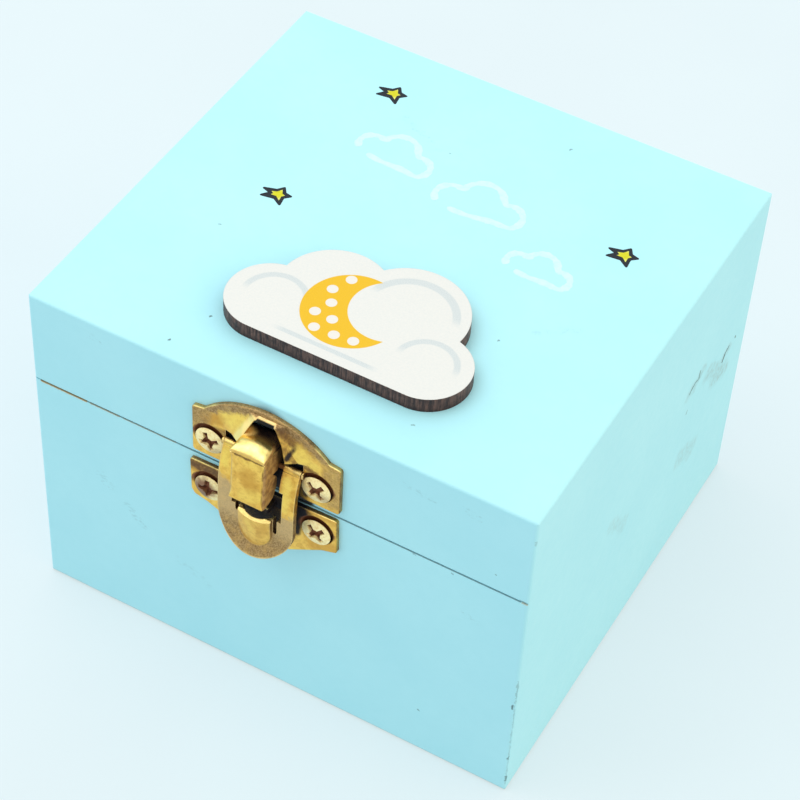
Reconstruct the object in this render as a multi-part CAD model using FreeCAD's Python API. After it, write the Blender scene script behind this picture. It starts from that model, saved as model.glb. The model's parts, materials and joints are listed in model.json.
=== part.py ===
import FreeCAD, Part
import math
import os

# Jack in the box: a small painted wooden box with a hinged lid, a brass hasp on
# the front, a wooden plaque on the lid, and a turned figure on a coil spring.
# Millimetres. Origin at the middle of the underside of the box, +Z up,
# the front with the latch faces -Y.

V = FreeCAD.Vector

# ---------------------------------------------------------------- dimensions
W = 100.0            # box width, along X
D = 94.0             # box depth, along Y
H = 75.0             # box height with the lid closed
T = 6.0              # thickness of wall boards and lid rails
T_BASE = 5.0         # base panel
T_LID = 6.0          # lid panel
Z_SEAM = 54.22       # underside of the lid
GAP_FRONT = 0.34     # open line between lid and box at the front
R_BOT = 0.8          # rounding of the bottom arrises
R_TOP = 0.45         # rounding of the top arrises
R_VERT = 0.55        # rounding of the upright arrises

# butt hinges at the back seam
AX_Y = D / 2 - 0.5   # hinge axis
AX_Z = Z_SEAM
HINGE_X = 28.0       # hinge middles at +-HINGE_X
HINGE_L = 18.0
KNUCKLE_R = 1.5
KNUCKLE_ROOM = 0.2
PIN_R = 0.70
PIN_RUN = 0.05       # running clearance of the lid knuckle on the pin
LEAF_T = 0.7
LEAF_Y = 4.8         # leaf reach from the axis
LEAF_GAP = 0.03      # each leaf lies this far from the seam plane
STOP_DEG = 50.0      # back bevels on lid and box meet at twice this angle

# latch, d is the distance out from the front face
FRONT = -D / 2
LX = -1.05           # middle of lid plate and hasp
KX = -1.5            # middle of the keeper plate
KEEPER_TILT = 1.3    # the keeper plate was screwed on a little askew, degrees
PLATE_T = 0.9
PLATE_HALF = 14.85
LP_Z = 62.2          # hasp pin height
LP_D = 1.0           # hasp pin distance from the front face
LPIN_R = 0.5
LBARREL_R = 0.9
HX = -1.25           # middle of the hasp, a little off the plate's
HASP_HALF = 7.65
WINDOW_HALF = 4.2
HASP_T = 1.1
TONGUE_HALF = 3.12
HOOD_Z = 65.0        # lower edge of the plate's hood
LID_SCREWS = [(-12.3, 60.1, 22), (9.15, 60.0, 45)]       # x, z, turn of the cross
KEEPER_SCREWS = [(-12.6, 47.5, 4), (9.4, 49.0, 41)]

# plaque
PLAQUE_T = 3.0

# jack
SEAT_R = 22.0
SEAT_T = 3.0
WIRE_R = 0.9
COIL_R = 16.0
COIL_TURNS = 7.0
COIL_H = 18.0        # length of the pressed spring
PLATFORM_R = 20.0
PLATFORM_T = 3.0
HEAD_R = 10.5

os.makedirs("parts", exist_ok=True)


# ---------------------------------------------------------------- helpers
def poly_face(points):
    return Part.Face(Part.makePolygon(list(points) + [points[0]]))


def prism_xz(pts, y0, y1):
    return poly_face([V(x, y0, z) for x, z in pts]).extrude(V(0, y1 - y0, 0))


def prism_yz(pts, x0, x1):
    return poly_face([V(x0, y, z) for y, z in pts]).extrude(V(x1 - x0, 0, 0))


def prism_xy(pts, z0, z1):
    return poly_face([V(x, y, z0) for x, y in pts]).extrude(V(0, 0, z1 - z0))


def box(x0, x1, y0, y1, z0, z1):
    return Part.makeBox(x1 - x0, y1 - y0, z1 - z0, V(x0, y0, z0))


def cyl_x(r, x0, x1, y, z):
    return Part.makeCylinder(r, x1 - x0, V(x0, y, z), V(1, 0, 0))


def cyl_z(r, z0, z1, x=0.0, y=0.0):
    return Part.makeCylinder(r, z1 - z0, V(x, y, z0), V(0, 0, 1))


def front_box(x0, x1, d0, d1, z0, z1):
    return box(x0, x1, FRONT - d1, FRONT - d0, z0, z1)


def front_prism(pts, d0, d1):
    return prism_xz(pts, FRONT - d1, FRONT - d0)


def rounded_outline(u0, u1, v0, v1, r_low, r_high, place):
    """A closed outline with rounded corners in a plane that place() maps to space."""
    k = math.sin(math.pi / 4)
    corners = [
        (u1, v0, -1, 1, r_low),
        (u1, v1, -1, -1, r_high),
        (u0, v1, 1, -1, r_high),
        (u0, v0, 1, 1, r_low),
    ]
    arcs = []
    for n, (u, v, su, sv, r) in enumerate(corners):
        cu, cv = u + su * r, v + sv * r
        a, b = (cu, v), (u, cv)
        if n % 2:
            a, b = b, a
        mid = (cu - su * r * k, cv - sv * r * k)
        arcs.append((a, mid, b))
    edges = []
    for n in range(4):
        a, m, b = arcs[n]
        edges.append(Part.Arc(place(*a), place(*m), place(*b)).toShape())
        nxt = arcs[(n + 1) % 4][0]
        edges.append(Part.LineSegment(place(*b), place(*nxt)).toShape())
    return Part.Wire(edges)


def turned(points, x=0.0, y=0.0):
    """A solid turned about an upright axis, from (radius, height) points."""
    s = poly_face([V(r, 0, z) for r, z in points]).revolve(V(0, 0, 0), V(0, 0, 1), 360)
    s.translate(V(x, y, 0))
    return s


def turned_curve(start, stops, end):
    """A turned solid whose outer line is a smooth curve through the stops."""
    curve = Part.BSplineCurve()
    curve.interpolate([V(r, 0, z) for r, z in stops])
    pts_a = [V(r, 0, z) for r, z in start] + [V(stops[0][0], 0, stops[0][1])]
    pts_b = [V(stops[-1][0], 0, stops[-1][1])] + [V(r, 0, z) for r, z in end]
    edges = [Part.LineSegment(a, b).toShape() for a, b in zip(pts_a, pts_a[1:])]
    edges.append(curve.toShape())
    edges += [Part.LineSegment(a, b).toShape() for a, b in zip(pts_b, pts_b[1:])]
    edges.append(Part.LineSegment(pts_b[-1], pts_a[0]).toShape())
    return Part.Face(Part.Wire(edges)).revolve(V(0, 0, 0), V(0, 0, 1), 360)


def soften(shape, size, pick, kind="fillet"):
    """Rounds or bevels the edges that pick() accepts, where that stays valid."""
    edges = [e for e in shape.Edges if pick(e)]
    if not edges:
        return shape
    for s in (size, size * 0.6, size * 0.35):
        try:
            new = shape.makeFillet(s, edges) if kind == "fillet" else shape.makeChamfer(s, edges)
            if new.isValid() and new.Volume > 0.7 * shape.Volume:
                return new
        except Exception:
            pass
    return shape


def one(shape):
    """The largest solid of a result, refined."""
    shape = shape.removeSplitter()
    solids = sorted(shape.Solids, key=lambda s: -s.Volume)
    return solids[0]


def group(solids):
    return Part.makeCompound(solids)


def to_front(shape, x, z, d, spin=0.0):
    """Places a shape made along +Z so that +Z points out of the front face."""
    s = shape.copy()
    s.rotate(V(0, 0, 0), V(0, 0, 1), spin)
    s.Placement = FreeCAD.Placement(
        V(x, FRONT - d, z), FreeCAD.Rotation(V(0, 0, 1), V(0, -1, 0))
    ).multiply(s.Placement)
    return s


nodes = {}

# ---------------------------------------------------------------- box and lid boards
outer = (
    Part.Face(
        rounded_outline(-W / 2, W / 2, 0, H, R_BOT, R_TOP, lambda u, v: V(u, -D, v))
    ).extrude(V(0, 2 * D, 0))
).common(
    Part.Face(
        rounded_outline(-D / 2, D / 2, 0, H, R_BOT, R_TOP, lambda u, v: V(-W, u, v))
    ).extrude(V(2 * W, 0, 0))
).common(
    Part.Face(
        rounded_outline(
            -W / 2, W / 2, -D / 2, D / 2, R_VERT, R_VERT, lambda u, v: V(u, v, -1)
        )
    ).extrude(V(0, 0, H + 2))
)

hw, hd = W / 2, D / 2
big = 5.0
plans = {
    "front": [(-hw - big, -hd - big), (hw + big, -hd - big), (hw - T, -hd + T), (-hw + T, -hd + T)],
    "back": [(hw + big, hd + big), (-hw - big, hd + big), (-hw + T, hd - T), (hw - T, hd - T)],
    "left": [(-hw - big, hd + big), (-hw - big, -hd - big), (-hw + T, -hd + T), (-hw + T, hd - T)],
    "right": [(hw + big, -hd - big), (hw + big, hd + big), (hw - T, hd - T), (hw - T, -hd + T)],
}

# back bevels that let the lid turn and then stop it
reach = 1.0
drop = reach * math.tan(math.radians(STOP_DEG))
bevel_box = prism_yz(
    [(AX_Y, AX_Z + 0.5), (AX_Y, AX_Z), (AX_Y + reach, AX_Z - drop), (AX_Y + reach, AX_Z + 0.5)],
    -W, W,
)
bevel_lid = prism_yz(
    [(AX_Y, AX_Z - 0.5), (AX_Y, AX_Z), (AX_Y + reach, AX_Z + drop), (AX_Y + reach, AX_Z - 0.5)],
    -W, W,
)

walls = {}
rails = {}
for side, plan in plans.items():
    wall = prism_xy(plan, -1, Z_SEAM).common(outer)
    walls[side] = wall.cut(bevel_box)
    low = Z_SEAM + (GAP_FRONT if side == "front" else 0.0)
    rail = prism_xy(plan, low, H - T_LID).common(outer)
    rails[side] = rail.cut(bevel_lid)

base_panel = box(-hw + T, hw - T, -hd + T, hd - T, 0, T_BASE)
lid_top = outer.common(box(-W, W, -D, D, H - T_LID, H + 1))

# ---------------------------------------------------------------- hinges
seg = HINGE_L / 3
hinge_body_screws = []
hinge_lid_screws = []


def leaf_screw(x, y, z, up):
    """A small countersunk screw, flush with a leaf, going away from the seam."""
    prof = [(0, 0), (1.45, 0), (0.72, 0.72), (0.70, 4.2), (0, 5.2)]
    s = turned([(r, -h) for r, h in prof])
    s = s.cut(box(-1.1, 1.1, -0.16, 0.16, -0.35, 1)).cut(box(-0.16, 0.16, -1.1, 1.1, -0.35, 1))
    if up:
        s.rotate(V(0, 0, 0), V(1, 0, 0), 180)
    s.translate(V(x, y, z))
    return s


def leaf_hole(x, y, z, up):
    s = turned([(0, 0.5), (1.52, 0.5), (1.52, 0), (0.74, -LEAF_T - 0.06), (0.74, -3), (0, -3)])
    if up:
        s.rotate(V(0, 0, 0), V(1, 0, 0), 180)
    s.translate(V(x, y, z))
    return s


for name, hx in (("left", -HINGE_X), ("right", HINGE_X)):
    x0, x1 = hx - HINGE_L / 2, hx + HINGE_L / 2
    xa, xb = x0 + seg, x1 - seg
    play = 0.1
    y_in = AX_Y - LEAF_Y
    z_top = Z_SEAM - LEAF_GAP
    z_low = Z_SEAM + LEAF_GAP

    # leaf on the box: two outer knuckles
    leaf = box(x0, x1, y_in, AX_Y, z_top - LEAF_T, z_top)
    leaf = leaf.cut(cyl_x(KNUCKLE_R + KNUCKLE_ROOM, xa - play, xb + play, AX_Y, AX_Z))
    for a, b in ((x0, xa - play), (xb + play, x1)):
        leaf = leaf.fuse(cyl_x(KNUCKLE_R, a, b, AX_Y, AX_Z))
    leaf = leaf.cut(cyl_x(PIN_R + 0.005, x0 - 1, x1 + 1, AX_Y, AX_Z))
    # leaf on the lid: the middle knuckle
    flap = box(x0, x1, y_in, AX_Y, z_low, z_low + LEAF_T)
    for a, b in ((x0 - 1, xa + play), (xb - play, x1 + 1)):
        flap = flap.cut(cyl_x(KNUCKLE_R + KNUCKLE_ROOM, a, b, AX_Y, AX_Z))
    flap = flap.fuse(cyl_x(KNUCKLE_R, xa + play, xb - play, AX_Y, AX_Z))
    flap = flap.cut(cyl_x(PIN_R + PIN_RUN, x0 - 1, x1 + 1, AX_Y, AX_Z))
    # knuckles stay off the other leaf
    leaf = leaf.cut(box(x0 - 1, x1 + 1, y_in - 1, AX_Y - KNUCKLE_R, z_top, z_top + 3))
    flap = flap.cut(box(x0 - 1, x1 + 1, y_in - 1, AX_Y - KNUCKLE_R, z_low - 3, z_low))

    pin = cyl_x(PIN_R, x0 - 0.35, x1 + 0.35, AX_Y, AX_Z)
    pin = pin.fuse(cyl_x(1.05, x0 - 0.75, x0 - 0.05, AX_Y, AX_Z))
    pin = pin.fuse(cyl_x(1.05, x1 + 0.05, x1 + 0.75, AX_Y, AX_Z))
    pin = one(pin)

    room = cyl_x(KNUCKLE_R + KNUCKLE_ROOM, x0 - 0.95, x1 + 0.95, AX_Y, AX_Z)
    walls["back"] = walls["back"].cut(room).cut(
        box(x0, x1, y_in, AX_Y, z_top - LEAF_T, Z_SEAM + 1)
    )
    rails["back"] = rails["back"].cut(room).cut(
        box(x0, x1, y_in, AX_Y, Z_SEAM - 1, z_low + LEAF_T)
    )

    for dx in (-5.8, 5.8):
        sy = AX_Y - 3.15
        leaf = leaf.cut(leaf_hole(hx + dx, sy, z_top - 0.02, False))
        flap = flap.cut(leaf_hole(hx + dx, sy, z_low + 0.02, True))
        s = leaf_screw(hx + dx, sy, z_top - 0.04, False)
        hinge_body_screws.append(s)
        walls["back"] = walls["back"].cut(s)
        s = leaf_screw(hx + dx, sy, z_low + 0.04, True)
        hinge_lid_screws.append(s)
        rails["back"] = rails["back"].cut(s)

    nodes["hinge_%s_body_leaf" % name] = one(leaf)
    nodes["hinge_%s_lid_leaf" % name] = one(flap)
    nodes["hinge_%s_pin" % name] = pin

nodes["hinge_body_screws"] = group(hinge_body_screws)
nodes["hinge_lid_screws"] = group(hinge_lid_screws)


# ---------------------------------------------------------------- latch
def cross_screw():
    """An oval countersunk screw along +Z, zero at the plate's face, with a cross recess."""
    a, m, b = V(2.86, 0, 0.10), V(1.6, 0, 0.50), V(0, 0, 0.68)
    edges = [Part.Arc(a, m, b).toShape()]
    pts = [b, V(0, 0, -5.6), V(1.1, 0, -4.4), V(1.1, 0, -1.05), V(2.86, 0, -0.02), a]
    edges += [Part.LineSegment(p, q).toShape() for p, q in zip(pts, pts[1:])]
    s = Part.Face(Part.Wire(edges)).revolve(V(0, 0, 0), V(0, 0, 1), 360)
    for ang in (0, 90):
        wing = prism_xz([(-2.55, 1.2), (2.55, 1.2), (1.5, -0.5), (-1.5, -0.5)], -0.5, 0.5)
        wing.rotate(V(0, 0, 0), V(0, 0, 1), ang)
        s = s.cut(wing)
    hub = turned([(0, 1.0), (1.15, 1.0), (0.85, -0.55), (0, -0.7)])
    return one(s.cut(hub))


def countersink():
    """A blind dish for a screw head, drawn a little higher than the screw."""
    return turned([(0, 0.6), (3.35, 0.6), (3.35, 0.0), (2.75, -0.6), (0, -0.6)])


def shank_hole():
    return turned([(0, 0.6), (2.9, 0.6), (2.9, 0.0), (1.12, -1.05), (1.12, -2), (0, -2)])


def ellipsoid(x, d, z, rx, rd, rz):
    m = FreeCAD.Matrix()
    m.scale(V(rx, rd, rz))
    s = Part.makeSphere(1.0).transformGeometry(m)
    s.translate(V(x, FRONT - d, z))
    return s


screw = cross_screw()

# lid plate: flat plate with an arched crown, a domed hood and a tapered, lipped opening
shoulder_z, arch_x, arch_z, crown_z, foot_z = 67.05, 12.4, 67.45, 72.95, 55.95
pts = [
    V(LX - PLATE_HALF, 0, foot_z), V(LX + PLATE_HALF, 0, foot_z),
    V(LX + PLATE_HALF, 0, shoulder_z), V(LX + arch_x, 0, arch_z),
]
edges = [Part.LineSegment(p, q).toShape() for p, q in zip(pts, pts[1:])]
edges.append(Part.Arc(pts[-1], V(LX, 0, crown_z), V(LX - arch_x, 0, arch_z)).toShape())
edges.append(Part.LineSegment(V(LX - arch_x, 0, arch_z), V(LX - PLATE_HALF, 0, shoulder_z)).toShape())
edges.append(Part.LineSegment(V(LX - PLATE_HALF, 0, shoulder_z), pts[0]).toShape())
plate = Part.Face(Part.Wire(edges)).extrude(V(0, -PLATE_T, 0))
plate.translate(V(0, FRONT, 0))


def upright_edge(e):
    """Edges that run through the plate, along Y."""
    p, q = e.Vertexes[0].Point, e.Vertexes[-1].Point
    return len(e.Vertexes) == 2 and abs(p.y - q.y) > 0.5 and abs(p.x - q.x) < 1e-6 and abs(p.z - q.z) < 1e-6


def face_edge(e):
    return all(abs(v.Point.y - (FRONT - PLATE_T)) < 1e-6 for v in e.Vertexes)


plate = soften(plate, 0.7, upright_edge)
plate = soften(plate, 0.3, face_edge)


def opening_at(grow, low=60.9):
    """Corner points of the tapered opening, grown outwards by a margin."""
    g, top = grow, 71.9 + grow * 0.2
    return [(LX - 5.2 - g, low), (LX + 5.2 + g, low), (LX + 4.75 + g, 65.4), (LX + 3.8 + g, 68.6), (LX + 2.6 + g * 0.8, 71.4),
            (LX + 2.1 + g * 0.8, top), (LX - 1.2 - g * 0.8, top), (LX - 1.75 - g * 0.8, 71.4), (LX - 4.4 - g, 65.4)]


hood = ellipsoid(LX, -2.0, HOOD_Z, 12.6, 3.95, 10.3).common(
    front_box(LX - 14, LX + 14, 0.5, 5, HOOD_Z, 74))
wires = []
for l_low, r_low, d_low, l_top, r_top, z_top, d_top in ((7.1, 7.2, 1.0, 3.7, 4.3, 72.2, 0.45), (4.45, 4.8, 2.65, 1.5, 2.45, 71.8, 1.9)):
    p3 = [V(LX - l_low, FRONT - d_low, HOOD_Z), V(LX + r_low, FRONT - d_low, HOOD_Z),
          V(LX + r_top, FRONT - d_top, z_top), V(LX - l_top, FRONT - d_top, z_top)]
    wires.append(Part.makePolygon(p3 + [p3[0]]))
lip = Part.makeLoft(wires, True, True)
plate = plate.fuse(hood).fuse(lip)
plate = plate.cut(front_prism(opening_at(0.0), -1, 6))
for s in (-1, 1):
    xa, xb = sorted((LX + s * (WINDOW_HALF - 0.5), HX + s * (HASP_HALF + 0.1)))
    plate = plate.cut(front_box(xa, xb, -1, 5, LP_Z - LBARREL_R - 0.2, HOOD_Z - 0.05))
    xa, xb = sorted((HX + s * (HASP_HALF + 0.1), HX + s * (HASP_HALF + 0.5)))
    cheek = cyl_x(0.74, xa, xb, FRONT - LP_D, LP_Z).common(front_box(xa, xb, 0.3, 4, 60, 70))
    plate = plate.fuse(cheek).fuse(front_box(xa, xb, 0.3, LP_D + 0.1, LP_Z - 0.3, LP_Z + 0.3))
plate = plate.cut(cyl_x(LPIN_R + 0.005, LX - 12, LX + 12, FRONT - LP_D, LP_Z))
lid_screws = []
for sx, sz, turn in LID_SCREWS:
    plate = plate.cut(to_front(countersink(), sx + 0.1, sz + 0.6, PLATE_T))
    plate = plate.cut(to_front(shank_hole(), sx, sz, PLATE_T))
    lid_screws.append(to_front(screw, sx, sz, PLATE_T, turn))
latch_lid_plate = one(plate)

# pin of the hasp, which also carries the tongue
latch_pin = cyl_x(LPIN_R, HX - HASP_HALF - 0.4, HX + HASP_HALF + 0.4, FRONT - LP_D, LP_Z)

# tongue: a thick bill that stands out through the opening and hangs down
side = [(55.65, 6.85), (67.0, 6.2), (68.25, 4.1), (68.3, 2.3), (68.0, 0.7), (67.9, -0.6), (61.3, -0.6), (61.3, 1.6),
        (61.9, 3.3), (60.1, 2.3), (59.4, 2.2), (57.4, 2.6), (55.9, 3.6), (55.45, 4.9)]
bill = prism_yz([(FRONT - d, z) for z, d in side], LX - TONGUE_HALF, LX + TONGUE_HALF)


def roof_edge(e):
    """Long edges at both sides of the bill's top."""
    p, q = e.Vertexes[0].Point, e.Vertexes[-1].Point
    return min(p.z, q.z) > 66.9 and abs(p.x - q.x) < 1e-6 and FRONT - min(p.y, q.y) > 2.2 and abs(p.y - q.y) > 1.0


def nose_edge(e):
    p, q = e.Vertexes[0].Point, e.Vertexes[-1].Point
    return all(FRONT - v.Point.y > 5.5 for v in e.Vertexes) and abs(p.z - q.z) + abs(p.x - q.x) > 3.0


bill = soften(bill, 1.15, roof_edge, "chamfer")
bill = soften(bill, 0.55, nose_edge)
inner = front_prism(opening_at(-0.15), -2, 2.4)
bill = bill.common(inner.fuse(front_box(LX - 6, LX + 6, 2.4, 9, 50, 72)))
bill = bill.fuse(front_box(LX - 5.4, LX + 5.4, -0.9, 0.0, 62.6, 66.4))
tongue = one(bill.cut(cyl_x(LPIN_R + 0.005, LX - 12, LX + 12, FRONT - LP_D, LP_Z)))

# hasp: a bent strip with two arms, a window, a scoop below it and a round end
mid_line = [(62.2, 1.35), (61.3, 1.78), (59.4, 2.42), (56.2, 3.02), (52.5, 3.26), (49.0, 3.36), (46.4, 3.52), (44.2, 4.0), (42.6, 4.62), (40.3, 5.85)]


def strip(front, back):
    """A strip along the hasp's bent line, from back to front of that line."""
    sides = []
    for off in (front, -back):
        out = []
        for n, (z, d) in enumerate(mid_line):
            a, b = mid_line[max(0, n - 1)], mid_line[min(len(mid_line) - 1, n + 1)]
            tz, td = b[0] - a[0], b[1] - a[1]
            ln = math.hypot(tz, td)
            out.append(V(LX - 10, FRONT - (d - off * tz / ln), z + off * td / ln))
        curve = Part.BSplineCurve()
        curve.interpolate(out)
        sides.append((out, curve.toShape()))
    (a, ca), (b, cb) = sides
    wire = Part.Wire([
        ca, Part.LineSegment(a[-1], b[-1]).toShape(), cb, Part.LineSegment(b[0], a[0]).toShape(),
    ])
    return Part.Face(wire).extrude(V(20, 0, 0))


tip_z0, tip_h = 48.7, 7.5
arc_pts = [
    V(HX + HASP_HALF * math.cos(math.pi + math.pi * n / 24), 0, tip_z0 + tip_h * math.sin(math.pi + math.pi * n / 24))
    for n in range(25)
]
low_curve = Part.BSplineCurve()
low_curve.interpolate(arc_pts)
p = [arc_pts[-1], V(HX + HASP_HALF, 0, 66), V(HX - HASP_HALF, 0, 66), arc_pts[0]]
outline = Part.Face(Part.Wire(
    [low_curve.toShape()] + [Part.LineSegment(a, b).toShape() for a, b in zip(p, p[1:])]
)).extrude(V(0, -14, 0))
outline.translate(V(0, FRONT, 0))
hasp = strip(HASP_T / 2, HASP_T / 2).common(outline)

scoop_z, scoop_half = 50.3, 3.3
u_plan = [(LX + scoop_half * math.cos(math.pi + math.pi * n / 20), 43.4 + scoop_half + scoop_half * math.sin(math.pi + math.pi * n / 20)) for n in range(21)]
u_plan += [(LX + scoop_half, scoop_z + 2), (LX - scoop_half, scoop_z + 2)]
scoop = ellipsoid(LX, 3.4, scoop_z, 4.4, 1.85, 10.5).common(front_prism(u_plan, 3.2, 9))
mouth = prism_yz([(FRONT - 1, scoop_z + 0.5), (FRONT - 4.3, scoop_z + 0.5), (FRONT - 7.5, scoop_z - 1.9), (FRONT - 7.5, 58), (FRONT - 1, 58)], LX - 5, LX + 5)
hollow = ellipsoid(LX, 3.0, scoop_z, 3.05, 1.72, 5.6)
hasp = hasp.fuse(scoop.cut(mouth)).cut(hollow)
r_slot = 0.38
for s, low in ((-1, 49.6), (1, 47.9)):
    sx = LX + s * (WINDOW_HALF - r_slot)
    slot = front_box(sx - r_slot, sx + r_slot, -1, 14, low, 52).fuse(
        Part.makeCylinder(r_slot, 15, V(sx, FRONT + 1, low), V(0, -1, 0)))
    hasp = hasp.cut(slot)
hasp = hasp.cut(front_box(LX - WINDOW_HALF, LX + WINDOW_HALF, -1, 14, scoop_z + 0.5, 70)).cut(mouth)
for s in (-1, 1):
    xa, xb = sorted((LX + s * WINDOW_HALF, HX + s * HASP_HALF))
    hasp = hasp.cut(front_box(xa - 0.5, xb + 0.5, -1, 8, LP_Z, 70))
    hasp = hasp.fuse(cyl_x(LBARREL_R, xa, xb, FRONT - LP_D, LP_Z))
hasp = hasp.cut(cyl_x(LPIN_R + 0.06, LX - 12, LX + 12, FRONT - LP_D, LP_Z))
hasp = one(hasp)

# keeper plate with its catch lug, screwed to the box
k_pts = [
    V(KX + 14.95, 0, 53.5), V(KX + 14.95, 0, 45.3), V(KX + 12.0, 0, 44.4), V(KX + 5.4, 0, 40.7),
]
edges = [Part.LineSegment(V(KX - 14.95, 0, 53.5), k_pts[0]).toShape()]
edges += [Part.LineSegment(a, b).toShape() for a, b in zip(k_pts, k_pts[1:])]
edges.append(Part.Arc(k_pts[-1], V(KX, 0, 39.5), V(KX - 5.4, 0, 40.7)).toShape())
l_pts = [V(KX - 5.4, 0, 40.7), V(KX - 11.6, 0, 43.7), V(KX - 14.3, 0, 44.5), V(KX - 14.95, 0, 45.6), V(KX - 14.95, 0, 53.5)]
edges += [Part.LineSegment(a, b).toShape() for a, b in zip(l_pts, l_pts[1:])]
keeper = Part.Face(Part.Wire(edges)).extrude(V(0, -PLATE_T, 0))
keeper.translate(V(0, FRONT, 0))
keeper = soften(keeper, 0.6, upright_edge)
keeper = soften(keeper, 0.3, face_edge)
tilt_at = V(KX, FRONT, 48.0)
keeper.rotate(tilt_at, V(0, 1, 0), -KEEPER_TILT)
keeper_screws = []
for sx, sz, turn in KEEPER_SCREWS:
    keeper = keeper.cut(to_front(countersink(), sx + 0.1, sz + 0.6, PLATE_T))
    keeper = keeper.cut(to_front(shank_hole(), sx, sz, PLATE_T))
    keeper_screws.append(to_front(screw, sx, sz, PLATE_T, turn))
lug = front_box(LX - 2.2, LX + 2.2, 0.4, 3.5, 51.3, 52.5)
lug = soften(lug, 0.4, lambda e: all(FRONT - v.Point.y > 3.4 for v in e.Vertexes))
keeper = one(keeper.fuse(lug))

# screws and the tongue's foot are let into the wood
for s in lid_screws:
    rails["front"] = rails["front"].cut(s)
for s in keeper_screws:
    walls["front"] = walls["front"].cut(s)
rails["front"] = rails["front"].cut(front_box(LX - 5.4, LX + 5.4, -0.9, 0.5, 62.6, 66.4))
rails["front"] = rails["front"].cut(front_box(LX - 3.9, LX + 3.9, -2.8, 0.5, 61.1, 69.4))

nodes["latch_lid_plate"] = latch_lid_plate
nodes["latch_tongue"] = tongue
nodes["latch_hasp"] = hasp
nodes["latch_hinge_pin"] = latch_pin
nodes["latch_keeper_plate"] = keeper
nodes["latch_lid_screws"] = group(lid_screws)
nodes["latch_keeper_screws"] = group(keeper_screws)

# ---------------------------------------------------------------- plaque on the lid
cloud = [(-12.5, -27.6, 8.2), (-4.0, -20.6, 10.2), (9.6, -18.6, 11.1), (18.6, -27.8, 8.0)]
plaque = None
for x, y, r in cloud:
    c = cyl_z(r, H, H + PLAQUE_T, x, y)
    plaque = c if plaque is None else plaque.fuse(c)
plaque = plaque.fuse(box(-12.5, 18.6, -35.8, -24.0, H, H + PLAQUE_T))
nodes["plaque"] = one(plaque)

# ---------------------------------------------------------------- jack
z_seat = T_BASE
z_coil = z_seat + SEAT_T
z_plat = z_coil + COIL_H
z_torso = z_plat + PLATFORM_T

seat = soften(cyl_z(SEAT_R, z_seat, z_coil), 0.8, lambda e: all(abs(v.Point.z - z_coil) < 1e-6 for v in e.Vertexes) and e.Curve.TypeId == "Part::GeomCircle")
seat_screws = []
for n in range(3):
    a = math.radians(90 + 120 * n)
    x, y = 8.5 * math.cos(a), 8.5 * math.sin(a)
    s = turned([(0, -7.2), (1.3, -5.6), (1.3, -1.6), (2.6, 0), (0, 0)])
    for ang in (0, 90):
        wing = box(-1.7, 1.7, -0.35, 0.35, -0.8, 1)
        wing.rotate(V(0, 0, 0), V(0, 0, 1), ang + 20 * n)
        s = s.cut(wing)
    s.translate(V(x, y, z_coil))
    seat_screws.append(s)
    seat = seat.cut(s)
    base_panel = base_panel.cut(s)
nodes["spring_seat"] = one(seat)
nodes["seat_screws"] = group(seat_screws)

pitch = (COIL_H - 2 * WIRE_R - 0.1) / COIL_TURNS
helix = Part.makeHelix(pitch, pitch * COIL_TURNS, COIL_R)
section = Part.Wire([Part.Circle(V(COIL_R, 0, 0), V(0, 1, pitch / (2 * math.pi * COIL_R)), WIRE_R).toShape()])
spring = Part.Wire(helix.Edges).makePipeShell([section], True, True)
spring = Part.Solid(spring) if spring.ShapeType == "Shell" else spring
spring.translate(V(0, 0, z_coil + WIRE_R + 0.05))
length = COIL_TURNS * math.hypot(2 * math.pi * COIL_R, pitch)
print("spring volume %.2f, section times length %.2f" % (spring.Volume, math.pi * WIRE_R ** 2 * length))
nodes["spring"] = spring

platform = cyl_z(PLATFORM_R, z_plat, z_torso)
platform = soften(platform, 0.9, lambda e: e.Curve.TypeId == "Part::GeomCircle")
nodes["jack_platform"] = one(platform)

z_neck = z_torso + 7.4
torso = turned_curve(
    [(0, z_torso), (13.0, z_torso)],
    [(13.0, z_torso + 0.6), (12.4, z_torso + 2.6), (10.0, z_torso + 5.0), (7.6, z_torso + 6.6), (6.6, z_neck)],
    [(4.6, z_neck), (4.6, z_neck + 2.9), (0, z_neck + 2.9)],
)
torso = torso.Solids[0] if torso.Solids else Part.Solid(torso)
z_head = z_neck + 1.0 + HEAD_R + 0.2
head_ball = Part.makeSphere(HEAD_R, V(0, 0, z_head))
nose = Part.makeSphere(1.7, V(0, -HEAD_R - 0.35, z_head - 0.8))

collar = cyl_z(18.0, z_neck + 0.05, z_neck + 1.05).cut(cyl_z(4.8, z_neck - 1, z_neck + 3))

z_brim = z_head + 4.4
hat = turned_curve(
    [(0, z_brim - 0.6), (10.6, z_brim - 0.6)],
    [(11.1, z_brim + 0.1), (10.9, z_brim + 1.4), (9.3, z_brim + 4.0), (6.2, z_brim + 7.2), (3.4, z_brim + 9.6), (1.7, z_brim + 10.6)],
    [(0, z_brim + 10.6)],
)
hat = hat.Solids[0] if hat.Solids else Part.Solid(hat)
bead = Part.makeSphere(2.2, V(0, 0, z_brim + 11.5))
hat = hat.cut(head_ball).cut(bead)
head = head_ball.cut(torso).cut(nose)
print("figure top %.2f, lid panel underside %.2f" % (z_brim + 13.7, H - T_LID))

nodes["jack_torso"] = torso
nodes["jack_head"] = one(head)
nodes["jack_nose"] = nose
nodes["jack_collar"] = one(collar)
nodes["jack_hat"] = one(hat)
nodes["jack_hat_bead"] = bead

# ---------------------------------------------------------------- boards out
nodes["base_panel"] = one(base_panel)
for side in plans:
    nodes["%s_wall" % side] = one(walls[side])
    nodes["lid_%s_rail" % side] = one(rails[side])
nodes["lid_top"] = one(lid_top)

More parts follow.
